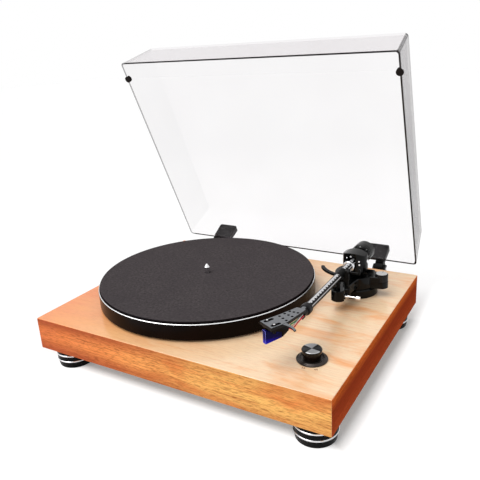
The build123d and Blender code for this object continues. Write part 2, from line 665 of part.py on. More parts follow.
def shell_outline():
    """The top plate: straight at the front, bending and narrowing towards the tube's line."""
    half = SHELL_FRONT_W / 2
    front_left = shell_point(-half, 0)[:2]
    front_right = shell_point(half, 0)[:2]
    left_bend = shell_point(-half, 26)[:2]
    right_bend = shell_point(half - 0.4, 18)[:2]
    return [front_left, front_right, right_bend, (140.9, -123.0), (146.0, -92.0), (145.8, -88.0),
            (134.6, -88.0), (133.4, -91.0), left_bend]


def make_headshell():
    face = make_face(Polyline(*shell_outline(), close=True))
    plate = prism(face, SHELL_BOTTOM, SHELL_TOP)
    plate = chamfer(plate.faces().sort_by(Axis.Z)[-1].edges(), 0.4)
    seat = TUBE_FRONT - 9.7
    neck = turned_on_arm([(0, -92), (4.2, -92), (SLEEVE_R - 0.1, -86), (SLEEVE_R - 0.1, seat),
                          (TUBE_BORE - 0.3, seat), (TUBE_BORE - 0.3, seat + 5.7), (0, seat + 5.7)])
    fin = block(ARM_X - 1.2, ARM_X + 1.2, -92, TUBE_FRONT - 12, DECK + 37.2, DECK + 41)
    plate += neck + fin
    plate += make_finger_lift()
    for side in (-1, 1):
        slot = headshell_frame() * Pos(side * SCREW_PITCH / 2, 8.8) * SlotOverall(12.5, 4.0, rotation=90)
        plate -= prism(slot, SHELL_BOTTOM - 1, SHELL_TOP + 1)
    for x, y in shell_holes():
        plate -= disc(1.6, SHELL_BOTTOM - 1, SHELL_TOP + 1, x, y)
    return plate


def shell_holes():
    """Three rows of three, each row square to the bending centre line."""
    rows = (((132.3, -118.2), 28, 6.1), ((134.4, -109.0), 15, 5.3), ((136.7, -100.3), 0, 4.8))
    places = []
    for (x, y), angle, pitch in rows:
        for k in (-1, 0, 1):
            places.append((x + k * pitch * cos(radians(angle)), y - k * pitch * sin(radians(angle))))
    return places


def make_finger_lift():
    """The curved tab on the headshell's right side, rising a little to its tip."""
    root = shell_point(9.6, 19.5)[:2]
    back = shell_point(10.4, 14.5)[:2]
    tip = (155.6, -135.2)
    low_tip = (154.6, -137.8)
    face = make_face([
        Line(back, root),
        ThreePointArc(root, (146.6, -128.3), tip),
        Line(tip, low_tip),
        ThreePointArc(low_tip, (144.4, -131.4), back),
    ])
    return prism(face, SHELL_TOP - 1.6, SHELL_TOP - 0.2)


def make_cartridge_body():
    top = Pos(0, 14.1, SHELL_BOTTOM) * Rectangle(17.0, 20.0)
    low = Pos(0, 14.4, STYLUS_TOP) * Rectangle(15.8, 19.4)
    body = headshell_frame() * loft([low, top])
    for side in (-1, 1):
        x, y, _ = shell_point(side * SCREW_PITCH / 2, 6.6)
        body -= disc(1.2, DECK + 40, SHELL_BOTTOM + 1, x, y)
    return body


def make_stylus_holder():
    """The replaceable stylus: a plate up the cartridge's front, a wedge below it and the cantilever."""
    side_view = [(0.5, DECK + 45.2), (-0.6, DECK + 27.6), (14.5, DECK + 30.0), (22.6, STYLUS_TOP),
                 (3.7, STYLUS_TOP), (3.7, DECK + 45.2)]
    front_view = [(-7.6, DECK + 46), (-7.6, STYLUS_TOP), (-2.6, DECK + 27.0), (2.6, DECK + 27.0),
                  (7.6, STYLUS_TOP), (7.6, DECK + 46)]
    body = extrude(Plane.YZ * make_face(Polyline(*side_view, close=True)), 9, both=True)
    body &= extrude(Plane.XZ * make_face(Polyline(*front_view, close=True)), 30, both=True)
    lever = Pos(0, 6.6, DECK + 29.2) * Rot(108, 0, 0) * Cylinder(0.45, 6.0, align=UP)
    return headshell_frame() * (body + lever)


def make_cartridge_screws():
    screws = []
    for side in (-1, 1):
        x, y, _ = shell_point(side * SCREW_PITCH / 2, 6.6)
        screws.append(disc(2.2, SHELL_TOP, SHELL_TOP + 1.2, x, y) + disc(1.2, DECK + 40, SHELL_TOP, x, y))
    return screws


def bend_radii(points):
    """The largest arc that each corner's shorter run leaves room for."""
    radii = []
    for before, corner, after in zip(points, points[1:], points[2:]):
        first = Vector(*corner) - Vector(*before)
        second = Vector(*after) - Vector(*corner)
        turn = radians(first.get_angle(second))
        radii.append(0.45 * min(first.length, second.length) / tan(turn / 2))
    return radii


def make_lead(points):
    """A thin insulated lead along straight runs joined by arcs."""
    path = FilletPolyline(*points, radius=bend_radii(points))
    start = points[0]
    heading = Vector(*points[1]) - Vector(*start)
    section = Plane(origin=start, z_dir=heading) * Circle(0.5)
    return sweep(section, path)


def lead_routes():
    """Each lead leaves the cartridge's rear, hangs in a loop to the right and enters the neck."""
    z = DECK
    across = (-4.8, -1.6, 1.6, 4.8)
    heights = (z + 42.6, z + 39.4, z + 42.6, z + 39.4)
    loops = (((134.5, -104.0, z + 41.6), (138.6, -99.5, z + 43.0)),
             ((137.5, -105.5, z + 38.2), (140.6, -99.8, z + 40.2)),
             ((139.0, -110.5, z + 37.0), (142.2, -103.0, z + 40.5)),
             ((141.6, -114.0, z + 35.6), (144.4, -105.5, z + 39.0)))
    ends = ((-2.2, -1.0), (-0.8, -3.0), (1.0, -1.2), (2.2, -2.4))
    routes = []
    for x, height, loop, (end_x, end_z) in zip(across, heights, loops, ends):
        pin, out = shell_point(x, 24.1), shell_point(x, 28.1)
        routes.append([(*pin[:2], height), (*out[:2], height), *loop,
                       (ARM_X + end_x, -96.0, TUBE_Z + end_z), (ARM_X + end_x, -92.0, TUBE_Z + end_z)])
    return routes


def make_leads(which):
    return [make_lead(route) for i, route in enumerate(lead_routes()) if i in which]


def make_anti_skate_dial():
    """The side-force dial: a ribbed grip with a plain cap, on a stem in the casting."""
    grip = Pos(DIAL_X, DIAL_Y, DECK + 20.3) * extrude(Circle(DIAL_R - 0.2), DIAL_TOP - DECK - 21.3)
    for i in range(24):
        angle = 2 * pi * i / 24
        x = DIAL_X + (DIAL_R - 0.1) * cos(angle)
        y = DIAL_Y + (DIAL_R - 0.1) * sin(angle)
        grip -= disc(0.45, DECK + 20, DIAL_TOP, x, y)
    grip += turned([(0, DIAL_TOP - 1), (7.6, DIAL_TOP - 1), (7.6, DIAL_TOP - 0.3), (7.2, DIAL_TOP),
                    (0, DIAL_TOP)], DIAL_X, DIAL_Y)
    return grip + disc(2.0, DECK + 13.5, DECK + 20.3, DIAL_X, DIAL_Y)


def make_cue_lever():
    """The lift handle: a hub on its axle in the pillar's slot, a thin rod with a sleeve, and a round tip."""
    hub = rod_y(2.7, LIFT_Y - 2.0, LIFT_Y + 2.0, LEVER_PIVOT_X, LEVER_Z)
    hub += rod_y(1.2, LIFT_Y - 5.2, LIFT_Y + 5.2, LEVER_PIVOT_X, LEVER_Z)
    hub += rod_x(1.1, LEVER_PIVOT_X, 166, LIFT_Y, LEVER_Z)
    hub += rod_x(1.9, LIFT_X + LIFT_R + 0.6, LIFT_X + LIFT_R + 4.4, LIFT_Y, LEVER_Z)
    tip = rod_x(2.6, 165, 170.5, LIFT_Y, LEVER_Z)
    return hub + fillet(tip.edges(), 1.0)


def make_lift_bow():
    """The plunger, its bracket and the curved rail that carries the tube over the record."""
    low = BOW_TOP - BOW_H
    bow = disc(PLUNGER_R, DECK + 21, low + 0.5, LIFT_X, LIFT_Y)
    bar = hull((LIFT_X, LIFT_Y, 3.2), (132.6, 22.0, 2.0)) + hull((132.6, 22.0, 2.0), (132.9, 39.4, 1.7))
    bow += prism(bar, low, BOW_TOP)
    start, end = radians(12), radians(57)
    mid = (start + end) / 2

    def on_arc(radius, angle):
        return (ARM_X - radius * sin(angle), ARM_Y - radius * cos(angle))

    inner, outer = BOW_R - BOW_W / 2, BOW_R + BOW_W / 2
    rail = make_face([
        ThreePointArc(on_arc(outer, start), on_arc(outer, mid), on_arc(outer, end)),
        ThreePointArc(on_arc(outer, end), on_arc(BOW_R, end + BOW_W / 2 / BOW_R), on_arc(inner, end)),
        ThreePointArc(on_arc(inner, end), on_arc(inner, mid), on_arc(inner, start)),
        Line(on_arc(inner, start), on_arc(outer, start)),
    ])
    return bow + prism(rail, low, BOW_TOP)


def make_rest_latch():
    """The latch that closes over the tube, lying open to the right of the rest."""
    px, pz = LATCH_PIVOT
    closed = [(px + 2.4, pz), (px + 2.0, pz + 3.0), (px - 1.0, pz + 3.6), (134.6, pz + 3.6),
              (134.2, pz - 3.6), (135.6, pz - 3.8), (136.4, pz + 1.2), (px - 2.6, pz + 1.2),
              (px - 2.4, pz - 1.4), (px, pz - 2.4)]
    face = make_face(Polyline(*[(x, z + DECK) for x, z in closed], close=True))
    y0 = REST_Y[1] + 0.3
    bar = Pos(0, y0 + 2.6, 0) * extrude(Plane.XZ * face, 2.6)
    bar -= rod_y(1.2 + RUNNING_GAP, y0 - 1, y0 + 4, px, DECK + pz)
    return bar.rotate(Axis((px, y0, DECK + pz), (0, 1, 0)), 180)


# Dust cover and hinges, built closed and then opened about the hinge axis

def cover_shell(inset):
    """The cover's outer form, or its hollow when inset by the wall thickness."""
    side, front, rear = COVER_TAPER
    y0, y1 = COVER_FRONT + inset, COVER_REAR - inset
    low = Pos(0, (y0 + y1) / 2, COVER_RIM) * RectangleRounded(COVER_W - 2 * inset, y1 - y0, 5.2 - inset)
    y0, y1 = y0 + front, y1 - rear
    width = COVER_W - 2 * inset - 2 * side
    high = Pos(0, (y0 + y1) / 2, COVER_RIM + COVER_H - inset) * RectangleRounded(width, y1 - y0, 5.2 - inset)
    return loft([low, high])


def opened(piece):
    """Swing a closed piece of the cover up to the open angle."""
    return piece.rotate(Axis((0, HINGE_Y, HINGE_Z), (1, 0, 0)), -OPEN_ANGLE)


def make_dust_cover():
    return opened(cover_shell(0.0) - cover_shell(COVER_WALL))


def make_hinge_leaf(side):
    """The leaf on the cover's rear wall, with the barrel that turns between the lugs."""
    x0, x1 = sorted((side * 119.5, side * 152.5))
    leaf = block(x0, x1, COVER_REAR - 8, COVER_REAR + 6.0, COVER_RIM + 4, COVER_RIM + 30.5)
    leaf = fillet(leaf.edges().filter_by(Axis.Y).group_by(Axis.Z)[-1], 3.0)
    barrel_x = side * HINGE_X
    half = BARREL_L / 2
    leaf += block(barrel_x - half, barrel_x + half, COVER_REAR + 1, COVER_REAR + 7.6, HINGE_Z + 2, COVER_RIM + 6)
    leaf += rod_x(BARREL_R, barrel_x - half, barrel_x + half, HINGE_Y, HINGE_Z)
    leaf -= rod_x(PIN_R + RUNNING_GAP, barrel_x - half - 1, barrel_x + half + 1, HINGE_Y, HINGE_Z)
    return opened(leaf - cover_shell(0.0))


def make_hinge_bracket(side):
    """The bracket screwed to the plinth's rear, with a lug each side of the barrel."""
    rear = PLINTH_D / 2
    x = side * HINGE_X
    half = BARREL_L / 2
    plate = block(x - 16, x + 16, rear, rear + 3, DECK - 32, DECK - 12)
    plate = fillet(plate.edges().filter_by(Axis.Y), 2.5)
    for edge in (-1, 1):
        lug_x0, lug_x1 = sorted((x + edge * (half + 0.3), x + edge * (half + 3.3)))
        outline = Plane.YZ * hull((HINGE_Y, HINGE_Z, 5.5), (rear + 3.5, DECK - 16, 3.5))
        plate += Pos(lug_x0, 0, 0) * extrude(outline, lug_x1 - lug_x0)
    for dx in (-11, 11):
        plate -= rod_y(1.2, rear - 1, rear + 4, x + dx, DECK - 24)
    return plate - rod_x(PIN_R, x - 12, x + 12, HINGE_Y, HINGE_Z)


def make_hinge_pins():
    half = BARREL_L / 2 + 4
    return [rod_x(PIN_R, side * HINGE_X - half, side * HINGE_X + half, HINGE_Y, HINGE_Z) for side in (-1, 1)]


def make_cover_bumpers():
    """A rubber button astride the rim at each front corner, with a foot up the inside of the wall."""
    bumpers = []
    for side in (-1, 1):
        x, y = side * (COVER_W / 2 - 1.7), COVER_FRONT + 25.6
        button = disc(BUMPER_R, COVER_RIM, COVER_RIM + 3, x, y) & cover_shell(COVER_WALL)
        button += disc(BUMPER_R, COVER_RIM - 1.3, COVER_RIM, x, y)
        bumpers.append(opened(button))
    return bumpers


def build():
    """Every node's solids, in the plinth's frame."""
    return {
        "plinth": make_plinth(),
        "bottom_cover": make_bottom_cover(),
        "case_screws": make_case_screws(),
        "feet": make_feet(),
        "foot_rings": make_foot_rings(),
        "foot_pads": make_foot_pads(),
        "foot_bolts": make_foot_bolts(),
        "bearing_housing": make_bearing_housing(),
        "bearing_bush": make_bearing_bush(),
        "thrust_ball": make_thrust_ball(),
        "motor": make_motor(),
        "drive_belt": make_drive_belt(),
        "control_board": make_control_board(),
        "speed_switch": make_speed_switch(),
        "knob_flange": make_knob_flange(),
        "terminal_panel": make_terminal_panel(),
        "phono_sockets": [make_phono_socket(socket_places()[name]) for name in ("left", "right")],
        "ground_post": make_ground_post(),
        "power_socket": make_power_socket(),
        "arm_base": make_arm_base(),
        "arm_base_nut": make_arm_base_nut(),
        "arm_block": make_arm_block(),
        "swing_bearings": make_swing_bearings(),
        "arm_rest": make_arm_rest(),
        "hinge_bracket_left": make_hinge_bracket(-1),
        "hinge_bracket_right": make_hinge_bracket(1),
        "hinge_pins": make_hinge_pins(),
        "platter": make_platter(),
        "platter_mat": make_platter_mat(),
        "spindle": make_spindle(),
        "motor_shaft": make_motor_shaft(),
        "motor_pulley": make_motor_pulley(),
        "dust_cover": make_dust_cover(),
        "hinge_leaf_left": make_hinge_leaf(-1),
        "hinge_leaf_right": make_hinge_leaf(1),
        "cover_bumpers": make_cover_bumpers(),
        "gimbal_housing": make_gimbal_housing(),
        "swing_shaft": make_swing_shaft(),
        "tilt_pivots": make_tilt_pivots(),
        "gimbal_core": make_gimbal_core(),
        "arm_tube": make_arm_tube(),
        "tube_bushing": make_tube_bushing(),
        "rest_sleeve": make_rest_sleeve(),
        "rear_stub": make_rear_stub(),
        "headshell": make_headshell(),
        "cartridge_body": make_cartridge_body(),
        "stylus_holder": make_stylus_holder(),
        "cartridge_screws": make_cartridge_screws(),
        "left_channel_leads": make_leads((0, 2)),
        "right_channel_leads": make_leads((1, 3)),
        "locking_ring": make_locking_ring(),
        "counterweight_insert": make_counterweight_insert(),
        "counterweight": make_counterweight(),
        "force_dial": make_force_dial(),
        "anti_skate_dial": make_anti_skate_dial(),
        "cue_lever": make_cue_lever(),
        "lift_bow": make_lift_bow(),
        "rest_latch": make_rest_latch(),
        "speed_knob": make_speed_knob(),
        "ground_nut": make_ground_nut(),
    }


def export_all():
    """Write each node, moved so that the origin is under the middle of the open machine."""
    pieces = build()
    rear = pieces["dust_cover"].bounding_box().max.Y
    shift = Pos(0, (PLINTH_D / 2 - rear) / 2, 0)
    os.makedirs("parts", exist_ok=True)
    for name, piece in pieces.items():
        solids = piece if isinstance(piece, list) else [piece]
        shape = shift * (solids[0] if len(solids) == 1 else Compound(children=solids))
        export_step(shape, f"parts/{name}.step")
    print("nodes", len(pieces), "origin lies", round((rear - PLINTH_D / 2) / 2, 3), "mm behind the plinth's centre")


export_all()
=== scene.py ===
from math import cos, pi, radians, sin

import bmesh
import bpy
from mathutils import Matrix, Vector


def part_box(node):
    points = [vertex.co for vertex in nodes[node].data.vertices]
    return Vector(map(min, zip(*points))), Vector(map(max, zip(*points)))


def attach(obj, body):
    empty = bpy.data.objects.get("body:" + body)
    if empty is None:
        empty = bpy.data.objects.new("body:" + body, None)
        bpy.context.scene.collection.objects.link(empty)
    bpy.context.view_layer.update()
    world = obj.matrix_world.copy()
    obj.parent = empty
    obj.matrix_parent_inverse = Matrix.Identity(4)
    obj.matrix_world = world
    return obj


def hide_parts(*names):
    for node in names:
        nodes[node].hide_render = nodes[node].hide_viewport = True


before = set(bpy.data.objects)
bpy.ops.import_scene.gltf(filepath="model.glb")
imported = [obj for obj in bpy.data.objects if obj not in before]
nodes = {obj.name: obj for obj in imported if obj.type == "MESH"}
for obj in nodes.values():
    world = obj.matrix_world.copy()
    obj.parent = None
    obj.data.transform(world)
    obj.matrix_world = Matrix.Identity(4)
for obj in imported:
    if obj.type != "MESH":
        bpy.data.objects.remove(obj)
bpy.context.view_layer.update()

# A wooden record player with its clear cover standing open. Lengths are in metres,
# X runs to the right, Y to the rear and Z up from the floor.


def middle(node):
    """The middle of a node's box."""
    low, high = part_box(node)
    return (low + high) / 2


# Places that the finishes and new pieces are set out from
PLINTH_LOW, PLINTH_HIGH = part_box("plinth")
DECK = PLINTH_HIGH.z
HALF_WIDTH = PLINTH_HIGH.x
SPINDLE = middle("spindle")
KNOB = middle("speed_knob")
KNOB_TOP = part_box("speed_knob")[1].z
SIDE_DIAL_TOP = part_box("anti_skate_dial")[1].z
ARM = middle("gimbal_housing")
TUBE_Z = middle("arm_tube").z
DRUM_RADIUS = 0.0165
SIDE_DIAL = middle("anti_skate_dial")
MOTOR = middle("motor_shaft")
ARM_AXIS_Y = middle("swing_shaft").y
SHELL_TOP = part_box("cartridge_screws")[1].z - 0.0012
TIP_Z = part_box("stylus_holder")[0].z
HINGE_Y = middle("hinge_pins").y
HINGE_Z = middle("hinge_pins").z
OPEN_ANGLE = radians(65.9)
OFFSET_ANGLE = radians(27.5)
PLINTH_Y = (PLINTH_LOW.y + PLINTH_HIGH.y) / 2
MAT_EDGE = 0.1479     # where the felt's cut edge begins, from the spindle
CUT_RADIUS = 0.1491   # the platter's bright cut: from this far out, and this far above the deck
CUT_HEIGHT = 0.0223
FACE_SKIN = 0.0004    # how near to a face of the plinth its veneer counts as that face's

# The leads: blue, green, white and red; their places on the cartridge's rear, in millimetres
LEAD_RADIUS = 0.0007
LEAD_NAMES = ("lead_blue", "lead_green", "lead_white", "lead_red")
LEAD_SKINS = ("2A3FA8", "12C880", "FFFDF6", "FF2A50")
LEAD_X = (-4.8, -1.6, 1.6, 4.8)
LEAD_HEIGHTS = [DECK * 1000 + height for height in (42.6, 39.4, 42.6, 39.4)]

# The photograph's camera: its focal length and its picture's width in pixels
FOCAL_PIXELS = 555.48
PHOTO_WIDTH = 480
SENSOR_WIDTH = 36.0

# Levels of the floor's glow, of the painted light that lightens the floor's shadow beside the plinth, and of
# the world's light on the object
FLOOR_GLOW = 0.19
PAINTED_LIGHT_GLOW = 0.5
SKY = 0.42


# Shader maths

class Value:
    """A socket in a material; using it in an expression adds Math nodes."""

    def __init__(self, material, socket):
        self.material = material
        self.socket = socket

    def _maths(self, operation, *inputs):
        return self.material.node("ShaderNodeMath", {"operation": operation}, *inputs)

    def __add__(self, other):
        return self._maths("ADD", self, other)

    def __sub__(self, other):
        return self._maths("SUBTRACT", self, other)

    def __rsub__(self, other):
        return self._maths("SUBTRACT", other, self)

    def __mul__(self, other):
        return self._maths("MULTIPLY", self, other)

    def __truediv__(self, other):
        return self._maths("DIVIDE", self, other)

    def __pow__(self, other):
        return self._maths("POWER", self, other)

    def __mod__(self, other):
        return self._maths("FLOORED_MODULO", self, other)

    def __gt__(self, other):
        return self._maths("GREATER_THAN", self, other)

    def __lt__(self, other):
        return self._maths("LESS_THAN", self, other)

    def __abs__(self):
        return self._maths("ABSOLUTE", self)

    __radd__ = __add__
    __rmul__ = __mul__


class Finish:
    """A material under construction, with the few tools that its nodes are made with."""

    def __init__(self, name):
        self.material = bpy.data.materials.new(name)
        self.material.use_nodes = True
        self.tree = self.material.node_tree
        self.tree.nodes.clear()
        self.output = self.tree.nodes.new("ShaderNodeOutputMaterial")
        self.place = self.node("ShaderNodeTexCoord", {}, out="Object")

    def node(self, kind, settings, *inputs, out=0, **named):
        """Add one node, set it up, fill its sockets in order or by name, and return an output."""
        made = self.tree.nodes.new(kind)
        for key, setting in settings.items():
            if key == "stops":
                self._set_stops(made.color_ramp, setting)
            else:
                setattr(made, key, setting)
        for value, socket in zip(inputs, made.inputs):
            self._fill(socket, value)
        for key, value in named.items():
            self._fill(made.inputs[key.replace("_", " ")], value)
        return Value(self, made.outputs[out])

    def _set_stops(self, ramp, stops):
        while len(ramp.elements) < len(stops):
            ramp.elements.new(1.0)
        for element, (position, colour) in zip(ramp.elements, stops):
            element.position = position
            element.color = (*colour, 1.0)

    def _fill(self, socket, value):
        if isinstance(value, Value):
            self.tree.links.new(value.socket, socket)
        elif value is not None:
            socket.default_value = value

    def parts(self, vector):
        """The X, Y and Z of a vector."""
        split = self.node("ShaderNodeSeparateXYZ", {}, vector)
        return [Value(self, output) for output in split.socket.node.outputs]

    def vector(self, x=0.0, y=0.0, z=0.0):
        return self.node("ShaderNodeCombineXYZ", {}, x, y, z)

    def mapped(self, scale=(1, 1, 1), move=(0, 0, 0), turn=(0, 0, 0), of=None):
        return self.node("ShaderNodeMapping", {}, of or self.place, move, turn, scale)

    def noise(self, vector, scale, detail=3.0, rough=0.55, warp=0.0):
        return self.node("ShaderNodeTexNoise", {}, Vector=vector, Scale=scale, Detail=detail,
                         Roughness=rough, Distortion=warp)

    def cells(self, vector, scale):
        return self.node("ShaderNodeTexVoronoi", {}, Vector=vector, Scale=scale)

    def ramp(self, value, *stops):
        return self.node("ShaderNodeValToRGB", {"stops": stops}, value)

    def spread(self, value, low, high, out_low=0.0, out_high=1.0):
        """Stretch a value from one range to another, and keep it inside that."""
        return self.node("ShaderNodeMapRange", {}, value, low, high, out_low, out_high)

    def blend(self, share, first, second, mode="MIX"):
        """Mix two colours."""
        made = self.node("ShaderNodeMix", {"data_type": "RGBA", "blend_type": mode}, share, out=2)
        for colour, socket in zip((first, second), made.socket.node.inputs[6:8]):
            self._fill(socket, colour if isinstance(colour, Value) else (*colour, 1.0))
        return made

    def sine(self, value):
        return self.node("ShaderNodeMath", {"operation": "SINE"}, value)

    def bump(self, height, strength, distance=0.0002):
        return self.node("ShaderNodeBump", {}, Strength=strength, Distance=distance, Height=height)

    def radius(self, centre, axis="Z"):
        """How far a point is from an axis, and how far along it."""
        x, y, z = self.parts(self.mapped(move=[-c for c in centre]))
        a, b, along = {"Y": (x, z, y), "Z": (x, y, z)}[axis]
        return (a * a + b * b) ** 0.5, along, a, b

    def outward(self):
        """The X, Y and Z of the direction that the surface faces."""
        return self.parts(self.node("ShaderNodeTexCoord", {}, out="Normal"))

    def surface(self, **sockets):
        return self.node("ShaderNodeBsdfPrincipled", {}, **sockets)

    def done(self, shader):
        self.tree.links.new(shader.socket, self.output.inputs["Surface"])
        return self.material


def tint(code):
    """A colour written as a web colour, as the linear values that shaders take."""
    parts = [int(code[i:i + 2], 16) / 255 for i in (0, 2, 4)]
    return tuple(p / 12.92 if p <= 0.04045 else ((p + 0.055) / 1.055) ** 2.4 for p in parts)


# Finishes

def lacquered_veneer():
    """Warm open-grained veneer. Its grain follows the length of each face of the plinth."""
    m = Finish("lacquered_veneer")
    x, y, z = m.parts(m.place)
    side = abs(x) > HALF_WIDTH - FACE_SKIN
    front = (y < PLINTH_LOW.y + FACE_SKIN) + (y > PLINTH_HIGH.y - FACE_SKIN)
    along = x + (y - x) * side
    across = y * (1 - side)
    grain = m.vector(along, across, z)
    # Figure in four sizes, from broad clouds down to single pores, each drawn out along the grain
    cloud = m.noise(m.mapped((9, 24, 34), of=grain), 1.0, 4.0, 0.55, 0.9)
    band = m.noise(m.mapped((4, 75, 75), of=grain), 1.0, 3.0, 0.55, 0.3)
    streak = m.noise(m.mapped((16, 420, 420), of=grain), 1.0, 4.0, 0.65, 0.2)
    pores = m.noise(m.mapped((110, 850, 850), of=grain), 1.0, 3.0, 0.65)
    # Paler from the left to the right, partly the veneer's own tone and partly a painted reflection, with
    # darker figure across it
    paling_and_painted_reflection = m.spread(x + cloud * 0.14 - y * 0.1, -0.12, 0.16)
    figure = m.spread(cloud * 0.75 + band * 0.25, 0.48, 0.64, 0.0, 0.75)
    # The deck
    flat = m.ramp(paling_and_painted_reflection, (0.0, tint("F6965A")), (0.45, tint("FFC084")), (1.0, tint("FFDFB8")))
    flat = m.blend(figure, flat, tint("FAA458"))
    flat = m.blend(m.spread(streak, 0.5, 0.68, 0.0, 0.26), flat, tint("EC8C48"))
    # The front and the rear, darker towards their long edges
    height = abs(z - (PLINTH_LOW.z + DECK) / 2) / (DECK - PLINTH_LOW.z) * 2
    edge = m.ramp(paling_and_painted_reflection, (0.0, tint("E67A44")), (0.45, tint("FF9F56")), (1.0, tint("FFC36E")))
    edge = m.blend(figure, edge, tint("EC8040"))
    edge = m.blend(m.spread(streak, 0.44, 0.62, 0.0, 0.5), edge, tint("BC6029"))
    darker_towards_edges = m.spread(height, 0.25, 0.85, 0.0, 0.68) * m.spread(paling_and_painted_reflection, 0.5, 1.0, 1.0, 0.4)
    edge = m.blend(darker_towards_edges, edge, tint("A03A1C"))
    # The two ends, painted darker than the front as shade, and darkest at half height
    end = m.ramp(m.spread(z, PLINTH_LOW.z, DECK), (0.0, tint("CC5C33")), (0.35, tint("B24828")),
                 (0.65, tint("A34025")), (0.86, tint("DA672F")), (1.0, tint("EC7836")))
    end = m.blend(m.spread(streak, 0.4, 0.66, 0.0, 0.4), end, tint("7E2F16"))
    colour = m.blend(m.spread(front, 0.0, 1.0), flat, edge)
    colour = m.blend(side, colour, end)
    # Dark pores, which show most on the upright faces
    upright = m.spread(side + front, 0.0, 1.0)
    dark = m.spread(pores, 0.38, 0.52, 1.0, 0.0) * m.spread(cloud, 0.35, 0.6, 1.0, 0.6)
    colour = m.blend(dark * m.spread(upright, 0.0, 1.0, 0.12, 0.66), colour, tint("8E3E14"))
    gloss = m.spread(streak, 0.3, 0.7, 0.5, 0.4)
    relief = m.bump(pores, 0.12)
    # The deck has a clear coat, and the ends are matt
    lacquer = m.spread(upright, 0.0, 1.0, 0.8, 0.0)
    satin = m.surface(Base_Color=colour, Roughness=gloss, Normal=relief, Specular_IOR_Level=0.1,
                      Coat_Weight=lacquer, Coat_Roughness=0.16)
    matte = m.surface(Base_Color=colour, Roughness=gloss, Normal=relief, Specular_IOR_Level=0.0)
    return m.done(m.node("ShaderNodeMixShader", {}, m.spread(side, 0.0, 1.0), satin, matte))


def paint(name, colour, rough, speck=700.0, peel=90.0, bump=0.06, specular=0.5):
    """Sprayed or moulded finish: a fine texture with slow changes of tone and gloss."""
    m = Finish(name)
    fine = m.noise(m.place, speck, 3.0)
    slow = m.noise(m.place, peel, 2.0, 0.5, 0.3)
    base = tint(colour)
    light = [min(1.0, part * 1.5 + 0.003) for part in base]
    tone = m.blend(m.spread(slow, 0.3, 0.7), base, light)
    gloss = m.spread(fine + slow, 0.7, 1.3, max(rough - 0.05, 0.03), rough + 0.05)
    height = fine * 0.6 + slow
    return m.done(m.surface(Base_Color=tone, Roughness=gloss, Normal=m.bump(height, bump),
                            Specular_IOR_Level=specular))


def turned_metal(name, colour, rough, centre, axis="Z", metal=1.0, bump=0.2):
    """Metal off a lathe, with fine rings round its axis."""
    m = Finish(name)
    ring_pitch = 0.00025
    away, along = m.radius(centre, axis)[:2]
    rings = m.noise(m.vector(away / ring_pitch, along / ring_pitch, 0.0), 1.0, 2.0, 0.6)
    wear = m.noise(m.place, 160.0, 3.0)
    base = tint(colour)
    tone = m.blend(m.spread(wear, 0.35, 0.7) * 0.6, base, [part * 0.72 for part in base])
    tone = m.blend(m.spread(rings, 0.3, 0.5, 0.35, 0.0), tone, [part * 0.5 for part in base])
    gloss = m.spread(rings + wear, 0.7, 1.3, rough, rough + 0.12)
    return m.done(m.surface(Base_Color=tone, Roughness=gloss, Metallic=metal, Normal=m.bump(rings, bump)))


def short_felt():
    """Pressed dark felt: tangled fibres, a little pale lint and a soft nap."""
    m = Finish("pressed_felt")
    fibres = m.noise(m.place, 1500.0, 5.0, 0.75, 1.2)
    tufts = m.noise(m.place, 330.0, 4.0, 0.65, 0.6)
    patches = m.noise(m.place, 22.0, 3.0)
    lint = m.cells(m.mapped((1, 1, 1), turn=(0, 0, 0.6)), 260.0)
    colour = m.ramp(tufts, (0.3, tint("3B3738")), (0.5, tint("484344")), (0.7, tint("564F51")))
    colour = m.blend(m.spread(patches, 0.35, 0.65, 0.0, 0.5), colour, tint("433E40"))
    colour = m.blend(m.spread(fibres, 0.56, 0.8, 0.0, 0.5), colour, tint("625C5E"))
    colour = m.blend(m.spread(lint, 0.0, 0.1, 0.35, 0.0), colour, tint("6E6869"))
    away = m.radius(SPINDLE)[0]
    colour = m.blend(away > MAT_EDGE, colour, tint("151214"))
    return m.done(m.surface(Base_Color=colour, Roughness=0.98, Normal=m.bump(fibres + tufts, 0.5, 0.0004),
                            Specular_IOR_Level=0.03))


def platter_metal():
    """Dark polished side, tinted brown as a painted reflection of the deck, with the bright cut bevel round
    the platter's top edge.
    """
    m = Finish("platter_dark_and_cut_edge")
    away, along = m.radius((SPINDLE.x, SPINDLE.y, DECK))[:2]
    cut = (along > CUT_HEIGHT) * (away > CUT_RADIUS)
    lines = m.noise(m.vector(away * 3000, along * 3000, 0.0), 1.0, 2.0)
    smudge = m.noise(m.place, 40.0, 4.0)
    # Near-black side with a brown tint: painted reflection of the deck
    dark = m.blend(m.spread(smudge, 0.35, 0.65), tint("080302"), tint("100604"))
    bright = m.blend(m.spread(lines, 0.3, 0.7), tint("EDEDEE"), tint("FFFFFF"))
    gloss = m.spread(lines + smudge, 0.7, 1.3, 0.2, 0.28)
    gloss = gloss + cut * 0.1
    return m.done(m.surface(Base_Color=m.blend(cut, dark, bright), Roughness=gloss, Metallic=cut,
                            Normal=m.bump(lines, 0.12), Specular_IOR_Level=0.05))


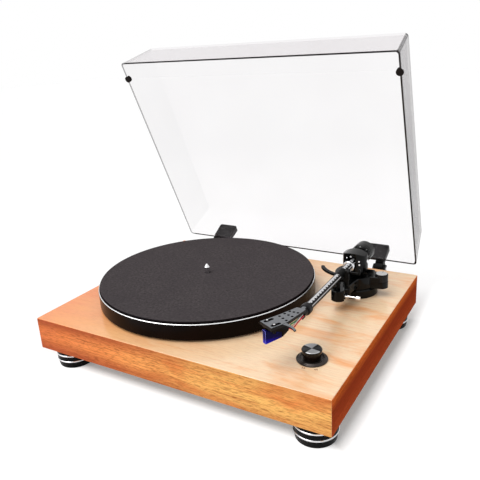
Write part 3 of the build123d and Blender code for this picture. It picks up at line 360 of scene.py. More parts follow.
def spun_cap(name, middle, radius, bright, dark, wedge=0.0, index=False):
    """A round grip with a spun top and dark sides; wedge paints a bow-tie reflection that darkens the top
    across its two flanks.
    """
    m = Finish(name)
    spun_depth, index_width = 0.0006, 0.0006
    away, along, a, b = m.radius(middle)
    top = (along > -spun_depth) * (away < radius)
    rings = m.noise(m.vector(away * 9000, 0.0, 0.0), 1.0, 2.0)
    smudge = m.noise(m.place, 130.0, 3.0)
    metal = m.blend(m.spread(rings, 0.3, 0.7), tint(bright[0]), tint(bright[1]))
    # Painted reflection: a bow-tie of bright and dark sectors across the spun top
    turn = radians(31.0)
    flank = abs(a * cos(turn) + b * sin(turn)) / away
    shade = m.ramp(flank, (0.66, tint("FFFFFF")), (0.74, tint("0C0C0D")),
                   (0.9, tint("38383A")), (1.0, tint("5A5A5C")))
    metal = m.blend(wedge, metal, shade, "MULTIPLY")
    side = m.blend(m.spread(smudge, 0.3, 0.7), tint(dark[0]), tint(dark[1]))
    colour = m.blend(top, side, metal)
    if index:
        line = (abs(a) < index_width / 2) * (b > radius * 0.45) * top
        colour = m.blend(line, colour, tint("151414"))
    gloss = m.spread(smudge, 0.3, 0.7, 0.14, 0.2) + top * 0.14
    return m.done(m.surface(Base_Color=colour, Roughness=gloss, Metallic=top, Specular_IOR_Level=0.2,
                            Normal=m.bump(rings * top, 0.08)))


def woven_tube():
    """Lacquered twill weave wound round the arm tube, with painted highlights in dashes along its upper
    side.
    """
    m = Finish("lacquered_twill_weave")
    x, y, z = m.parts(m.mapped(move=(-ARM.x, 0, -TUBE_Z)))
    strands, pitch = 16, 1 / 300
    turn = m.node("ShaderNodeMath", {"operation": "ARCTAN2"}, x, z)
    around = turn * (strands / (2 * pi))
    along = y / pitch
    step = (m.node("ShaderNodeMath", {"operation": "FLOOR"}, around)
            + m.node("ShaderNodeMath", {"operation": "FLOOR"}, along)) % 4
    warp_up = step > 1.5
    threads = m.sine(around * (2 * pi) * 3) * warp_up + m.sine(along * (2 * pi) * 3) * (1 - warp_up)
    dust = m.noise(m.place, 500.0, 3.0)
    colour = m.blend(warp_up, tint("040405"), tint("151517"))
    colour = m.blend(m.spread(threads, -1, 1, 0.0, 0.4), colour, tint("08080A"))
    # Painted highlights: a pale band along the top, a row of bright dashes beside it and a thin line lower
    # down
    band = m.spread(abs(turn), 0.22, 0.36, 0.7, 0.0)
    dashes = m.spread(abs(turn - 0.42), 0.1, 0.16, 0.9, 0.0) * ((along % 2) < 1.1)
    line = m.spread(abs(turn - 1.2), 0.07, 0.13, 1.0, 0.0)
    painted_highlights = m.spread(band + dashes + line * 0.9, 0.0, 1.0)
    colour = m.blend(painted_highlights, colour, tint("ECECEE"))
    gloss = m.spread(warp_up + dust * 0.3, 0.0, 1.3, 0.42, 0.22)
    height = threads * 0.15 + m.sine((around % 1) * pi) + m.sine((along % 1) * pi)
    return m.done(m.surface(Base_Color=colour, Roughness=gloss, Normal=m.bump(height, 0.4, 0.0002),
                            Specular_IOR_Level=0.1))


def headshell_metal():
    """Blasted grey top faces, with edges, holes and undersides painted near-black as shade."""
    m = Finish("blasted_top_painted_shade_edges")
    z = m.outward()[2]
    top = (z > 0.9) * (m.parts(m.place)[2] > SHELL_TOP - 0.0006)
    grit = m.noise(m.place, 1600.0, 3.0, 0.7)
    slow = m.noise(m.place, 120.0, 2.0)
    grey = m.blend(m.spread(grit, 0.35, 0.65), tint("5C5E61"), tint("86888C"))
    grey = m.blend(m.spread(slow, 0.35, 0.7, 0.0, 0.3), grey, tint("77797C"))
    # Painted shade: near-black on all but the top faces
    black = m.blend(m.spread(slow, 0.35, 0.7), tint("060506"), tint("0F0D0D"))
    gloss = m.spread(grit, 0.3, 0.7, 0.4, 0.5)
    return m.done(m.surface(Base_Color=m.blend(top, black, grey), Roughness=gloss,
                            Normal=m.bump(grit, 0.12, 0.0001), Specular_IOR_Level=0.18))


def polished_metal(name, colour, rough=0.07):
    """Bright plated metal with faint smudges and hairline wear."""
    m = Finish(name)
    smudge = m.noise(m.place, 90.0, 3.0, 0.5, 0.4)
    hairs = m.noise(m.mapped((300, 3000, 900)), 1.0, 2.0)
    base = tint(colour)
    tone = m.blend(m.spread(smudge, 0.35, 0.7, 0.0, 0.5), base, [p * 0.8 for p in base])
    tone = m.blend(m.spread(hairs, 0.62, 0.8, 0.0, 0.35), tone, [p * 0.6 for p in base])
    return m.done(m.surface(Base_Color=tone, Roughness=m.spread(smudge, 0.3, 0.7, rough, rough + 0.1),
                            Metallic=1.0, Normal=m.bump(hairs, 0.04, 0.0001)))


def rough_casting(name, colour, rough, metal):
    """Cast or plated metal, with small pits."""
    m = Finish(name)
    grit = m.noise(m.place, 900.0, 4.0, 0.7)
    pits = m.cells(m.place, 700.0)
    base = tint(colour)
    tone = m.blend(m.spread(grit, 0.3, 0.7), [p * 0.75 for p in base], base)
    tone = m.blend(m.spread(pits, 0.0, 0.2, 0.5, 0.0), tone, [p * 0.4 for p in base])
    return m.done(m.surface(Base_Color=tone, Roughness=m.spread(grit, 0.3, 0.7, rough, rough + 0.15),
                            Metallic=metal, Normal=m.bump(grit + pits, 0.25)))


def soft_rubber(name, colour="060606"):
    """Matte rubber with a bloom of dust."""
    m = Finish(name)
    grain = m.noise(m.place, 1100.0, 4.0, 0.7)
    bloom = m.noise(m.place, 70.0, 3.0)
    base = tint(colour)
    tone = m.blend(m.spread(bloom, 0.35, 0.7, 0.0, 0.6), base, [p + 0.008 for p in base])
    return m.done(m.surface(Base_Color=tone, Roughness=m.spread(grain, 0.3, 0.7, 0.55, 0.75),
                            Normal=m.bump(grain, 0.2), Specular_IOR_Level=0.1))


def pressed_board():
    """Dark pressed fibreboard, its flakes showing."""
    m = Finish("pressed_fibreboard")
    flakes = m.cells(m.mapped((1, 2.2, 1)), 420.0)
    fuzz = m.noise(m.place, 1800.0, 4.0)
    tone = m.ramp(flakes, (0.1, tint("3A2D20")), (0.5, tint("59452F")), (0.9, tint("6E573C")))
    tone = m.blend(m.spread(fuzz, 0.4, 0.7, 0.0, 0.5), tone, tint("2C2118"))
    return m.done(m.surface(Base_Color=tone, Roughness=m.spread(fuzz, 0.3, 0.7, 0.7, 0.85),
                            Normal=m.bump(flakes + fuzz, 0.4)))


def circuit_board():
    """Lacquered board with copper tracks under the green, and a grid of solder points."""
    m = Finish("circuit_board_lacquer")
    x = m.parts(m.place)[0]
    tracks = m.sine(x * 1600 + m.noise(m.place, 60.0, 1.0) * 9) > 0.55
    points = m.cells(m.place, 330.0) < 0.16
    green = m.blend(tracks, tint("0B3D22"), tint("1C6B3A"))
    tone = m.blend(points, green, tint("B9BCBE"))
    return m.done(m.surface(Base_Color=tone, Roughness=m.spread(points + tracks, 0, 1, 0.3, 0.4),
                            Metallic=points, Normal=m.bump(points + tracks * 0.5, 0.3)))


def wire_skin(name, colour):
    """Thin insulation with a faint lay of strands under it."""
    m = Finish(name)
    x, y, z = m.parts(m.place)
    lay = m.sine((x + y * 0.6 + z) * 9000)
    grime = m.noise(m.place, 400.0, 3.0)
    base = tint(colour)
    tone = m.blend(m.spread(grime, 0.4, 0.7, 0.0, 0.5), base, [p * 0.7 for p in base])
    return m.done(m.surface(Base_Color=tone, Roughness=m.spread(grime, 0.3, 0.7, 0.3, 0.42),
                            Normal=m.bump(lay, 0.1), Specular_IOR_Level=0.4))


def bright_screws():
    """Bright screw heads, each with a dark ring of painted shade round its rim."""
    m = Finish("bright_screws_painted_shade_rims")
    head_radius, bright_radius = 0.0022, 0.00125
    low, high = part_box("cartridge_screws")
    half = (high - low) / 2 - Vector((head_radius, head_radius, 0))
    centre = (low + high) / 2
    left = m.radius((centre.x - half.x, centre.y + half.y, 0))[0]
    right = m.radius((centre.x + half.x, centre.y - half.y, 0))[0]
    # Painted shade: everything beyond each head's bright middle
    dark = (left > bright_radius) * (right > bright_radius)
    hairs = m.noise(m.mapped((300, 3000, 900)), 1.0, 2.0)
    bright = m.blend(m.spread(hairs, 0.4, 0.7), tint("FFFFFF"), tint("CFCFD2"))
    return m.done(m.surface(Base_Color=m.blend(dark, bright, tint("0A0909")), Metallic=1 - dark,
                            Roughness=m.spread(hairs, 0.3, 0.7, 0.18, 0.28),
                            Normal=m.bump(hairs, 0.04, 0.0001), Specular_IOR_Level=0.1))


def stylus_plastic():
    """Deep blue moulding, brighter low down, with painted highlights where its faces turn edge-on and along
    its front edges.
    """
    m = Finish("deep_blue_moulding")
    flow = m.noise(m.place, 240.0, 3.0, 0.5, 0.6)
    z = m.parts(m.place)[2]
    low = m.spread(z + flow * 0.003, TIP_Z + 0.004, TIP_Z + 0.009, 1.0, 0.0)
    rim = m.node("ShaderNodeLayerWeight", {}, Blend=0.2, out="Facing")
    tone = m.blend(m.spread(flow, 0.3, 0.7), tint("040324"), tint("0B0948"))
    tone = m.blend(low, tone, tint("1C14B4"))
    # Painted highlights: paler where the faces turn edge-on, and lavender along the front edges
    tone = m.blend(rim * 0.3, tone, tint("3C3AC8"))
    a, b = m.outward()[:2]
    ahead = a * sin(OFFSET_ANGLE) + b * cos(OFFSET_ANGLE)
    painted_highlight_bevel = (ahead < -0.45) * (ahead > -0.97)
    tone = m.blend(painted_highlight_bevel, tone, tint("7C7BE0"))
    return m.done(m.surface(Base_Color=tone, Roughness=m.spread(flow, 0.3, 0.7, 0.12, 0.2),
                            Normal=m.bump(flow, 0.05), Specular_IOR_Level=0.06))


def clear_cover():
    """Clear moulded sheet: faint smoke and dust on its faces, painted shade on its polished rim and corners,
    and painted reflection greying its walls seen edge-on.
    """
    m = Finish("clear_moulded_sheet")
    # Places on the cover as if it were closed, measured from its hinge; its walls lean in towards its top
    shut = m.mapped(turn=(OPEN_ANGLE, 0, 0), of=m.mapped(move=(0, -HINGE_Y, -HINGE_Z)))
    x, y, z = m.parts(shut)
    rim_z, tall = 0.0056, 0.0622
    side_lean, front_lean, rear_lean = 0.0069, 0.0081, 0.0063
    rise = (z - rim_z) / tall
    wide = abs(x) + rise * side_lean
    ahead = y - rise * front_lean
    behind = y + rise * rear_lean
    # Painted shade: the rim, the dark edges at its front corners, and dark lines round the right-hand wall
    rim = ((z < 0.0061) + (x > 0.1965) * (z < 0.0088)) > 0.5
    painted_shade_corners = (wide > 0.197) * (ahead < -0.3375) * m.spread(x, -0.1, 0.1, 0.3, 1.0)
    painted_shade_outline = (wide > 0.198) * ((z > 0.0660) + (behind > -0.0135)) * (x > 0)
    sideways = m.outward()[0]
    flank = (abs(sideways) > 0.8) * m.spread(y, -0.3, -0.16, 0.72, 1.0)
    dust = m.noise(m.place, 900.0, 4.0, 0.7)
    haze = m.noise(m.place, 9.0, 2.0)
    edge_on = m.node("ShaderNodeLayerWeight", {}, Blend=0.5, out="Facing")
    mirror = m.node("ShaderNodeLayerWeight", {}, Blend=0.12, out="Fresnel")
    film = m.spread(haze + dust * 0.3, 0.4, 0.9, 0.03, 0.05)
    # Painted reflection: grey where the walls are seen edge-on, most on the side walls
    grey = film + (edge_on ** 3) * 0.11 + flank * (edge_on ** 4) * 0.75 + painted_shade_outline * 0.3
    sheet = m.blend(flank, tint("BDB6BA"), tint("827D80"))
    tone = m.blend(m.spread(rim + painted_shade_corners * 0.9 + painted_shade_outline * 0.6, 0, 1), sheet, tint("180F11"))
    smoke = m.surface(Base_Color=tone, Roughness=m.spread(dust, 0.3, 0.7, 0.05, 0.1), Specular_IOR_Level=0.2)
    clear = m.node("ShaderNodeBsdfTransparent", {}, (0.992, 0.988, 0.99, 1.0))
    painted_shade_rim = rim * m.spread(x, -0.197, -0.19, 0.5, 0.95)
    solid = m.spread(painted_shade_rim + painted_shade_corners * 0.55 + grey + mirror * 0.12, 0.0, 1.0)
    m.material.surface_render_method = "BLENDED"
    return m.done(m.node("ShaderNodeMixShader", {}, solid, clear, smoke))


# The finish of each node

moulded = paint("satin_black_moulding", "040404", 0.36, 900.0, specular=0.06)
gloss_black = paint("gloss_black_lacquer", "020202", 0.1, 500.0, 60.0, 0.02, specular=0.14)
satin_black = paint("satin_black_metal", "040404", 0.24, 800.0, specular=0.08)
plated = rough_casting("zinc_plated_steel", "B9B9B4", 0.28, 1.0)
bright_steel = polished_metal("polished_bright_steel", "EDEDEF")
gilt = polished_metal("gilt_brass", "D8B25A", 0.16)
rubber = soft_rubber("soft_black_rubber")

finishes = {
    "plinth": lacquered_veneer(), "bottom_cover": pressed_board(), "case_screws": plated,
    "feet": satin_black, "foot_rings": polished_metal("polished_foot_rings", "E9E9EC", 0.1),
    "foot_pads": rubber, "foot_bolts": plated,
    "bearing_housing": turned_metal("turned_brass_housing", "C9A253", 0.25, SPINDLE),
    "bearing_bush": turned_metal("sintered_bush", "A9783C", 0.4, SPINDLE),
    "thrust_ball": bright_steel,
    "motor": turned_metal("drawn_motor_can", "A9AAAC", 0.3, MOTOR),
    "drive_belt": soft_rubber("ground_belt_rubber", "141415"),
    "control_board": circuit_board(), "speed_switch": moulded,
    "knob_flange": turned_metal("dark_turned_flange", "38302D", 0.22, KNOB, metal=0.6, bump=0.1),
    "terminal_panel": paint("panel_moulding", "161618", 0.5, 1100.0, specular=0.3),
    "phono_sockets": gilt, "ground_post": gilt, "ground_nut": gilt, "power_socket": moulded,
    "arm_base": gloss_black, "arm_base_nut": plated, "arm_block": gloss_black,
    "swing_bearings": bright_steel, "arm_rest": moulded,
    "hinge_bracket_left": moulded, "hinge_bracket_right": moulded, "hinge_pins": bright_steel,
    "platter": platter_metal(), "platter_mat": short_felt(),
    "spindle": turned_metal("polished_spindle", "EFEFF1", 0.06, SPINDLE, bump=0.04),
    "motor_shaft": bright_steel, "motor_pulley": turned_metal("turned_brass_pulley", "C9A253", 0.2, MOTOR),
    "dust_cover": clear_cover(), "hinge_leaf_left": moulded, "hinge_leaf_right": moulded,
    "cover_bumpers": soft_rubber("brown_black_rubber", "181210"),
    "gimbal_housing": gloss_black, "swing_shaft": bright_steel, "tilt_pivots": bright_steel,
    "gimbal_core": satin_black, "arm_tube": woven_tube(),
    "tube_bushing": polished_metal("polished_bushing", "E3E3E6", 0.12), "rest_sleeve": rubber,
    "rear_stub": turned_metal("turned_rear_stub", "9A9A9E", 0.25, (ARM.x, 0, TUBE_Z), "Y"),
    "headshell": headshell_metal(),
    "cartridge_body": paint("gloss_cartridge_moulding", "040304", 0.2, 600.0, 70.0, 0.03, specular=0.1),
    "stylus_holder": stylus_plastic(), "cartridge_screws": bright_screws(),
    "left_channel_leads": wire_skin("white_wire_skin", "E4E2DC"),
    "right_channel_leads": wire_skin("red_wire_skin", "B01C2E"),
    "locking_ring": paint("satin_lock_ring", "161618", 0.32, 900.0, specular=0.12),
    "counterweight_insert": moulded,
    "counterweight": paint("gloss_weight_lacquer", "040404", 0.12, 500.0, 60.0, 0.02, specular=0.16),
    "force_dial": paint("gloss_dial_moulding", "030304", 0.16, 600.0, specular=0.12),
    "anti_skate_dial": spun_cap("side_dial_spun_cap", (SIDE_DIAL.x, SIDE_DIAL.y, SIDE_DIAL_TOP), 0.0072,
                                ("A3A2A1", "D9D8D7"), ("141314", "1F1D1E"), index=True),
    "cue_lever": polished_metal("polished_lift_handle", "EAEAEC", 0.06),
    "lift_bow": satin_black, "rest_latch": moulded,
    "speed_knob": spun_cap("knob_spun_top_dark_side", (KNOB.x, KNOB.y, KNOB_TOP), 0.01085,
                           ("A4A4A6", "D9D9DB"), ("0B0706", "1C110D"), wedge=1.0),
}
for name, finish in finishes.items():
    slots = nodes[name].data.materials
    slots.clear()
    slots.append(finish)
for name in set(nodes) - set(finishes):
    print("no finish for", name)


# Modelling

def at(x, y, z):
    """A point given in millimetres from the plinth's middle and the floor, as a place in the scene."""
    return Vector((x / 1000, PLINTH_Y + y / 1000, z / 1000))


def on_shell(x, y, z):
    """A point in the headshell's own frame, from the middle of its front edge, as a place in the scene."""
    turn = OFFSET_ANGLE
    return at(122.15 + x * cos(turn) + y * sin(turn), -138.85 - x * sin(turn) + y * cos(turn), z)


def added(name, operator, **settings):
    """Add one primitive, selected alone, and name it."""
    bpy.ops.object.select_all(action="DESELECT")
    operator(**settings)
    made = bpy.context.object
    made.name = made.data.name = name
    return made


def pick(piece, kind, test):
    """In edit mode, select only the faces whose middle, or the edges whose two ends, pass a test."""
    bpy.ops.mesh.select_mode(type=kind)
    bpy.ops.mesh.select_all(action="DESELECT")
    mesh = bmesh.from_edit_mesh(piece.data)
    for item in {"FACE": mesh.faces, "EDGE": mesh.edges}[kind]:
        places = [item.calc_center_median()] if kind == "FACE" else [end.co for end in item.verts]
        item.select_set(all(test(place) for place in places))
    mesh.select_flush_mode()
    bmesh.update_edit_mesh(piece.data)


def placed(piece, turn=None, place=(0, 0, 0)):
    """Turn a finished mesh and put it in place, with its object left at the origin."""
    bpy.ops.object.mode_set(mode="OBJECT")
    bpy.ops.object.select_all(action="DESELECT")
    piece.select_set(True)
    bpy.context.view_layer.objects.active = piece
    bpy.ops.object.transform_apply(location=True, rotation=True, scale=True)
    if turn:
        piece.data.transform(turn)
    piece.data.transform(Matrix.Translation(place))
    bpy.ops.object.shade_smooth_by_angle(angle=radians(35))
    return piece


def fitted(piece, body, slot, finish):
    """Give a finished piece its material, and let it move with its body."""
    piece.data.materials.clear()
    piece.data.materials.append(finish)
    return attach(piece, body)


def copied(piece, name):
    copy = piece.copy()
    copy.data = piece.data.copy()
    copy.name = copy.data.name = name
    bpy.context.collection.objects.link(copy)
    return copy


def facing(direction):
    """The turn that takes a piece modelled along +Z to a direction."""
    return Vector(direction).to_track_quat("Z", "Y").to_matrix().to_4x4()


def cap_screw(name):
    """A small round screw head with a bevelled rim and a six-sided socket, standing along +Z."""
    head = added(name, bpy.ops.mesh.primitive_cylinder_add, vertices=24, radius=0.00125, depth=0.0014)
    bpy.ops.object.mode_set(mode="EDIT")
    pick(head, "EDGE", lambda c: c.z > 0.0006)
    bpy.ops.mesh.bevel(offset=0.00022, segments=2)
    pick(head, "FACE", lambda c: c.z > 0.00069)
    bpy.ops.mesh.inset(thickness=0.00032)
    mesh = bmesh.from_edit_mesh(head.data)
    for vertex in mesh.verts:
        if vertex.select:
            angle = vertex.co.xy.angle_signed(Vector((1, 0)), 0.0)
            step = (angle + pi / 6) % (pi / 3) - pi / 6
            vertex.co.xy = vertex.co.xy.normalized() * 0.00062 / cos(step)
    bmesh.update_edit_mesh(head.data)
    bpy.ops.mesh.extrude_region_move(TRANSFORM_OT_translate={"value": (0, 0, -0.0007)})
    return head


def tube_entry_screws():
    """Four screws round the tube's entry, each square to the drum's curved front."""
    circle = 0.0098
    first = cap_screw("gimbal_screw_1")
    bpy.ops.object.mode_set(mode="OBJECT")
    heads = [first] + [copied(first, "gimbal_screw_%d" % i) for i in (2, 3, 4)]
    for head, angle in zip(heads, (95, 132, 19, -9)):
        x, z = circle * cos(radians(angle)), circle * sin(radians(angle))
        out = -(DRUM_RADIUS ** 2 - x ** 2) ** 0.5
        placed(head, facing((x, out, 0)), (ARM.x + x, ARM_AXIS_Y + out, TUBE_Z + z))
        fitted(head, "arm_yoke", "polished_metal", bright_steel)


def socket_collar(name, place, finish):
    """A coloured collar round the root of a sound socket, standing along +Y."""
    collar = added(name, bpy.ops.mesh.primitive_cylinder_add, vertices=48, radius=0.0061, depth=0.0008)
    bpy.ops.object.mode_set(mode="EDIT")
    pick(collar, "FACE", lambda c: abs(c.z) > 0.00039)
    bpy.ops.mesh.inset(thickness=0.00145)
    bpy.ops.mesh.bridge_edge_loops()
    pick(collar, "EDGE", lambda c: c.z > 0.00039 and c.xy.length > 0.006)
    bpy.ops.mesh.bevel(offset=0.0003, segments=3)
    placed(collar, facing((0, 1, 0)), place)
    return fitted(collar, "base", "black_plastic", finish)


def words(name, text, size, thickness):
    """Raised figures lying in the XY plane, their middle at the origin."""
    made = added(name, bpy.ops.object.text_add)
    made.data.body = text
    made.data.size = size
    made.data.extrude = thickness / 2
    made.data.align_x = "CENTER"
    made.data.align_y = "CENTER"
    made.data.resolution_u = 3
    bpy.ops.object.convert(target="MESH")
    made = bpy.context.object
    made.name = made.data.name = name
    return made


def speed_figures():
    """The two speeds, printed on the deck in front of the knob."""
    ink = paint("brown_deck_ink", "7A3A16", 0.5, 1500.0, specular=0.1)
    for text, x, y, turn in (("33", 158.4, -126.0, 0.02), ("45", 171.6, -123.4, 0.5)):
        figures = words("speed_figure_" + text, text, 0.0042, 0.0001)
        placed(figures, Matrix.Rotation(turn, 4, "Z"), at(x, y, DECK * 1000 + 0.03))
        fitted(figures, "base", "black_plastic", ink)


def dial_figures():
    """Figures round the bevel of the tracking force dial."""
    ink = paint("pale_dial_ink", "D9D7D2", 0.5, 1500.0, specular=0.3)
    low, high, start, end = 0.0109, 0.0129, 100.0, 102.2
    slope = Vector((high - low, (end - start) / 1000))
    length = slope.length
    slope.normalize()
    for count in range(8):
        figure = words("force_figure_%d" % count, str(count), 0.0021, 0.00008)
        for vertex in figure.data.vertices:
            up = length * 0.5 + vertex.co.y
            out = low + slope.x * up + slope.y * (vertex.co.z + 0.00003)
            y = start / 1000 + slope.y * up - slope.x * (vertex.co.z + 0.00003)
            angle = vertex.co.x / 0.0118 + 2 * pi * count / 8
            vertex.co = (ARM.x + out * sin(angle), PLINTH_Y + y, TUBE_Z + out * cos(angle))
        fitted(placed(figure), "tracking_force_dial", "black_plastic", ink)


def wire_clips():
    """The four sleeves that hold the leads on the cartridge's pins, in the leads' colours."""
    first = added("lead_clip_1", bpy.ops.mesh.primitive_cylinder_add,
                  vertices=20, radius=0.0009, depth=0.0046)
    bpy.ops.object.mode_set(mode="EDIT")
    pick(first, "EDGE", lambda c: abs(c.z) > 0.0022)
    bpy.ops.mesh.bevel(offset=0.00025, segments=2)
    pick(first, "FACE", lambda c: c.z > 0.00229)
    bpy.ops.mesh.inset(thickness=0.0001)
    bpy.ops.mesh.extrude_region_move(TRANSFORM_OT_translate={"value": (0, 0, -0.0005)})
    bpy.ops.object.mode_set(mode="OBJECT")
    clips = [first] + [copied(first, "lead_clip_%d" % i) for i in (2, 3, 4)]
    for i, (clip, x, z) in enumerate(zip(clips, LEAD_X, LEAD_HEIGHTS)):
        start, end = on_shell(x, 24.4, z), on_shell(x + 0.9, 29.0, z - 1.7)
        placed(clip, facing(end - start), (start + end) / 2)
        fitted(clip, "arm", "red_lead" if i % 2 else "white_lead",
               wire_skin("sleeve_skin_%d" % (i + 1), LEAD_SKINS[i]))


def shell_place(piece):
    """Put a piece modelled in the headshell's own frame, in metres, in place."""
    return placed(piece, Matrix.Rotation(-OFFSET_ANGLE, 4, "Z"), on_shell(0, 0, DECK * 1000))


def cartridge():
    """The cartridge: a flange under the headshell, and below it a body that narrows to its nose."""
    body = added("cartridge_moulding", bpy.ops.mesh.primitive_cube_add,
                 size=1.0, location=(0, 0.0198, 0.03815), scale=(0.0166, 0.0086, 0.0103))
    bpy.ops.object.transform_apply(location=True, rotation=True, scale=True)
    bpy.ops.object.mode_set(mode="EDIT")
    pick(body, "EDGE", lambda c: c.y > 0.024 and c.z < 0.034)
    bpy.ops.transform.translate(value=(0, 0, 0.0054))
    bpy.ops.mesh.select_all(action="SELECT")
    bpy.ops.mesh.bisect(plane_co=(0, 0.0155, 0.039), plane_no=(0, 0, 1))
    pick(body, "FACE", lambda c: c.y < 0.0156 and c.z > 0.039)
    bpy.ops.mesh.extrude_region_move(TRANSFORM_OT_translate={"value": (0, -0.0149, 0)})
    bpy.ops.transform.resize(value=(2.9 / 8.3, 1.0, 0.5 / 4.3), center_override=(0, 0.0006, 0.0433))
    pick(body, "EDGE", lambda c: c.z < 0.0432)
    bpy.ops.mesh.bevel(offset=0.00025, segments=2)
    bpy.ops.mesh.select_all(action="DESELECT")
    bpy.ops.mesh.primitive_cube_add(size=1.0, location=(0, 0.01285, 0.0445))
    bpy.ops.transform.resize(value=(0.0172, 0.0225, 0.0024), center_override=(0, 0.01285, 0.0445))
    pick(body, "EDGE", lambda c: c.z > 0.0432 and abs(c.x) > 0.0085)
    bpy.ops.mesh.bevel(offset=0.0004, segments=2)
    for x in (-0.00635, 0.00635):
        bpy.ops.mesh.select_all(action="DESELECT")
        bpy.ops.mesh.primitive_cylinder_add(vertices=24, radius=0.0021, depth=0.0038,
                                            location=(x, 0.0066, 0.0415))
        pick(body, "EDGE", lambda c: abs(c.z - 0.0396) < 1e-6)
        bpy.ops.mesh.bevel(offset=0.0004, segments=2)
    fitted(shell_place(body), "arm", "black_plastic", finishes["cartridge_body"])
    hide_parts("cartridge_body")


def stylus():
    """The replaceable stylus: a blue wedge under the cartridge's nose, its cantilever and its point."""
    holder = added("stylus_moulding", bpy.ops.mesh.primitive_cube_add,
                   size=1.0, location=(0, 0.00665, 0.0357), scale=(0.0152, 0.0177, 0.0066))
    bpy.ops.object.transform_apply(location=True, rotation=True, scale=True)
    bpy.ops.object.mode_set(mode="EDIT")
    pick(holder, "FACE", lambda c: c.y < -0.002)
    bpy.ops.transform.resize(value=(2.8 / 7.6, 1.0, 15.7 / 6.6), center_override=(0, -0.0022, 0.0357))
    bpy.ops.transform.translate(value=(0, 0, -0.00025))
    bpy.ops.mesh.select_all(action="SELECT")
    bpy.ops.mesh.bevel(offset=0.00045, segments=2)
    pick(holder, "FACE", lambda c: c.y > 0.0154)
    bpy.ops.mesh.inset(thickness=0.0008)
    fitted(shell_place(holder), "arm", "blue_plastic", finishes["stylus_holder"])
    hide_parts("stylus_holder")

    reach = Vector((0, -0.0079, -0.0037))
    lever = added("stylus_cantilever", bpy.ops.mesh.primitive_cylinder_add, vertices=16, radius=0.0004,
                  depth=reach.length)
    bpy.ops.object.mode_set(mode="EDIT")
    pick(lever, "FACE", lambda c: c.z > 0.004)
    bpy.ops.mesh.extrude_region_move(TRANSFORM_OT_translate={"value": (0, 0, 0.0005)})
    bpy.ops.transform.resize(value=(0.4, 0.4, 1.0), center_override=(0, 0, 0.0048))
    placed(lever, facing(reach), Vector((0, 0.00555, 0.02935)))
    fitted(shell_place(lever), "arm", "polished_metal", bright_steel)
    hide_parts("stylus_holder")


def leads():
    """Four thin leads from the cartridge's pins to the neck, each one smooth line."""
    deck = DECK * 1000
    tube = TUBE_Z * 1000
    loops = (((134.5, -104.0, deck + 41.6), (138.6, -99.5, deck + 43.0)),
             ((137.5, -105.5, deck + 38.2), (140.6, -99.8, deck + 40.2)),
             ((138.4, -111.6, deck + 36.0), (141.0, -103.4, deck + 39.8)),
             ((140.4, -114.0, deck + 34.4), (142.2, -105.8, deck + 38.4)))
    ends = ((-2.2, -1.0), (-0.8, -3.0), (1.0, -1.2), (2.2, -2.4))
    for i, (name, skin) in enumerate(zip(LEAD_NAMES, LEAD_SKINS)):
        x, z = ends[i]
        route = [on_shell(LEAD_X[i], 24.1, LEAD_HEIGHTS[i]),
                 on_shell(LEAD_X[i] + 1.0, 29.4, LEAD_HEIGHTS[i] - 1.9),
                 at(*loops[i][0]), at(*loops[i][1]),
                 at(142.1 + x, -96.0, tube + z), at(142.1 + x, -92.0, tube + z)]
        line = bpy.data.curves.new(name, "CURVE")
        line.dimensions = "3D"
        line.bevel_depth = LEAD_RADIUS
        line.bevel_resolution = 4
        spline = line.splines.new("NURBS")
        spline.points.add(len(route) - 1)
        for point, place in zip(spline.points, route):
            point.co = (*place, 1.0)
        spline.order_u = 3
        spline.use_endpoint_u = True
        spline.resolution_u = 16
        lead = bpy.data.objects.new(name, line)
        bpy.context.collection.objects.link(lead)
        line.materials.append(wire_skin(name + "_skin", skin))
        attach(lead, "arm")
        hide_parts("right_channel_leads" if i % 2 else "left_channel_leads")


tube_entry_screws()
socket_collar("left_socket_collar", at(16.0, 166.4, 49.0), paint("white_collar", "E3E1DB", 0.35))
socket_collar("right_socket_collar", at(32.0, 166.4, 49.0), paint("red_collar", "B01C22", 0.35))
speed_figures()
dial_figures()
wire_clips()
cartridge()
stylus()
leads()


# Floor, light and camera

def seen_rays(finish):
    """1 for what the camera, a reflection or clear plastic looks at, and 0 for plain lighting."""
    path = finish.node("ShaderNodeLightPath", {}).socket.node.outputs
    seen = [Value(finish, path[name]) for name in ("Is Camera Ray", "Is Glossy Ray", "Is Transmission Ray")]
    return finish.spread(seen[0] + seen[1] + seen[2], 0.0, 1.0)


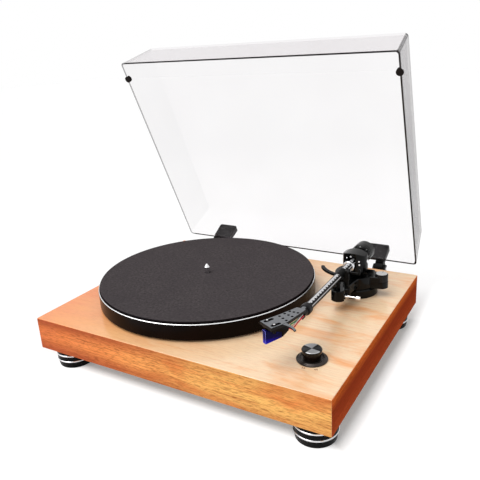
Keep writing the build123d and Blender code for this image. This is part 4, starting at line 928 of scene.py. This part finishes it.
def floor():
    plane = added("floor", bpy.ops.mesh.primitive_plane_add, size=14.0)
    m = Finish("pale_floor")
    mottle = m.noise(m.place, 3.0, 3.0)
    away = m.radius((0.0, 0.0, 0.0))[0]
    near = m.blend(mottle, (0.82, 0.82, 0.82), (0.84, 0.84, 0.84))
    paint_colour = m.blend(m.spread(away, 0.6, 1.6), near, (0.77, 0.77, 0.77))
    # Painted light: extra glow, seen by the camera alone, that lightens the floor's shadow to the right of
    # the plinth and in front of it, near the object
    x, y = m.parts(m.place)[:2]
    right, front = m.spread(x, 0.2, 0.217), m.spread(y, -0.175, -0.188)
    painted_light_zone = m.node("ShaderNodeMath", {"operation": "MAXIMUM"}, right, front)
    painted_light_zone = painted_light_zone * m.spread(y, 0.12, 0.3, 1.0, 0.0) * m.spread(away, 0.4, 0.6, 1.0, 0.0)
    camera_ray = Value(m, m.node("ShaderNodeLightPath", {}).socket.node.outputs["Is Camera Ray"])
    strength = seen_rays(m) * FLOOR_GLOW + painted_light_zone * camera_ray * PAINTED_LIGHT_GLOW
    glow = m.node("ShaderNodeEmission", {}, (1.0, 1.0, 1.0, 1.0), strength)
    flat = m.node("ShaderNodeBsdfDiffuse", {}, paint_colour)
    plane.data.materials.append(m.done(m.node("ShaderNodeAddShader", {}, flat, glow)))


class Room(Finish):
    """The world's own nodes, made with the same tools as a finish."""

    def __init__(self):
        world = bpy.data.worlds.new("pale_room")
        bpy.context.scene.world = world
        world.use_nodes = True
        self.material = world
        self.tree = world.node_tree
        self.tree.nodes.clear()
        self.output = self.tree.nodes.new("ShaderNodeOutputWorld")


def room():
    """White where it is seen, and a plain grey light on the object."""
    m = Room()
    strength = m.spread(seen_rays(m), 0.0, 1.0, SKY, 1.0)
    m.done(m.node("ShaderNodeBackground", {}, (1.0, 1.0, 1.0, 1.0), strength))


def sunlight(name, source, angle, strength):
    """Even light from one direction; a wide angle softens its shadows."""
    light = bpy.data.lights.new(name, "SUN")
    light.angle = radians(angle)
    light.energy = strength
    made = bpy.data.objects.new(name, light)
    made.rotation_euler = Vector(source).to_track_quat("Z", "Y").to_euler()
    bpy.context.collection.objects.link(made)
    return made


def camera():
    """The photograph's view, from the front right and a little above."""
    yaw, pitch, roll = radians(31.35), radians(19.10), radians(-3.29)
    forward = Vector((-sin(yaw) * cos(pitch), cos(yaw) * cos(pitch), -sin(pitch)))
    level = Vector((cos(yaw), sin(yaw), 0))
    upward = level.cross(forward)
    right = cos(roll) * level + sin(roll) * upward
    up = -sin(roll) * level + cos(roll) * upward
    lens = bpy.data.cameras.new("camera")
    lens.sensor_fit = "HORIZONTAL"
    lens.sensor_width = SENSOR_WIDTH
    lens.lens = FOCAL_PIXELS * SENSOR_WIDTH / PHOTO_WIDTH
    made = bpy.data.objects.new("camera", lens)
    made.matrix_world = (Matrix.Translation((0.37185, -0.624643, 0.39263))
                         @ Matrix((right, up, -forward)).transposed().to_4x4())
    bpy.context.collection.objects.link(made)
    bpy.context.scene.camera = made


floor()
room()
sunlight("wide_key", (-0.3, -0.25, 0.93), 50, 1.38)
sunlight("narrow_key", (-0.32, 0.0, 0.93), 9, 0.26)
sunlight("fill", (-0.45, -0.8, 0.45), 60, 1.1)
camera()

bpy.context.scene.view_settings.view_transform = "Standard"
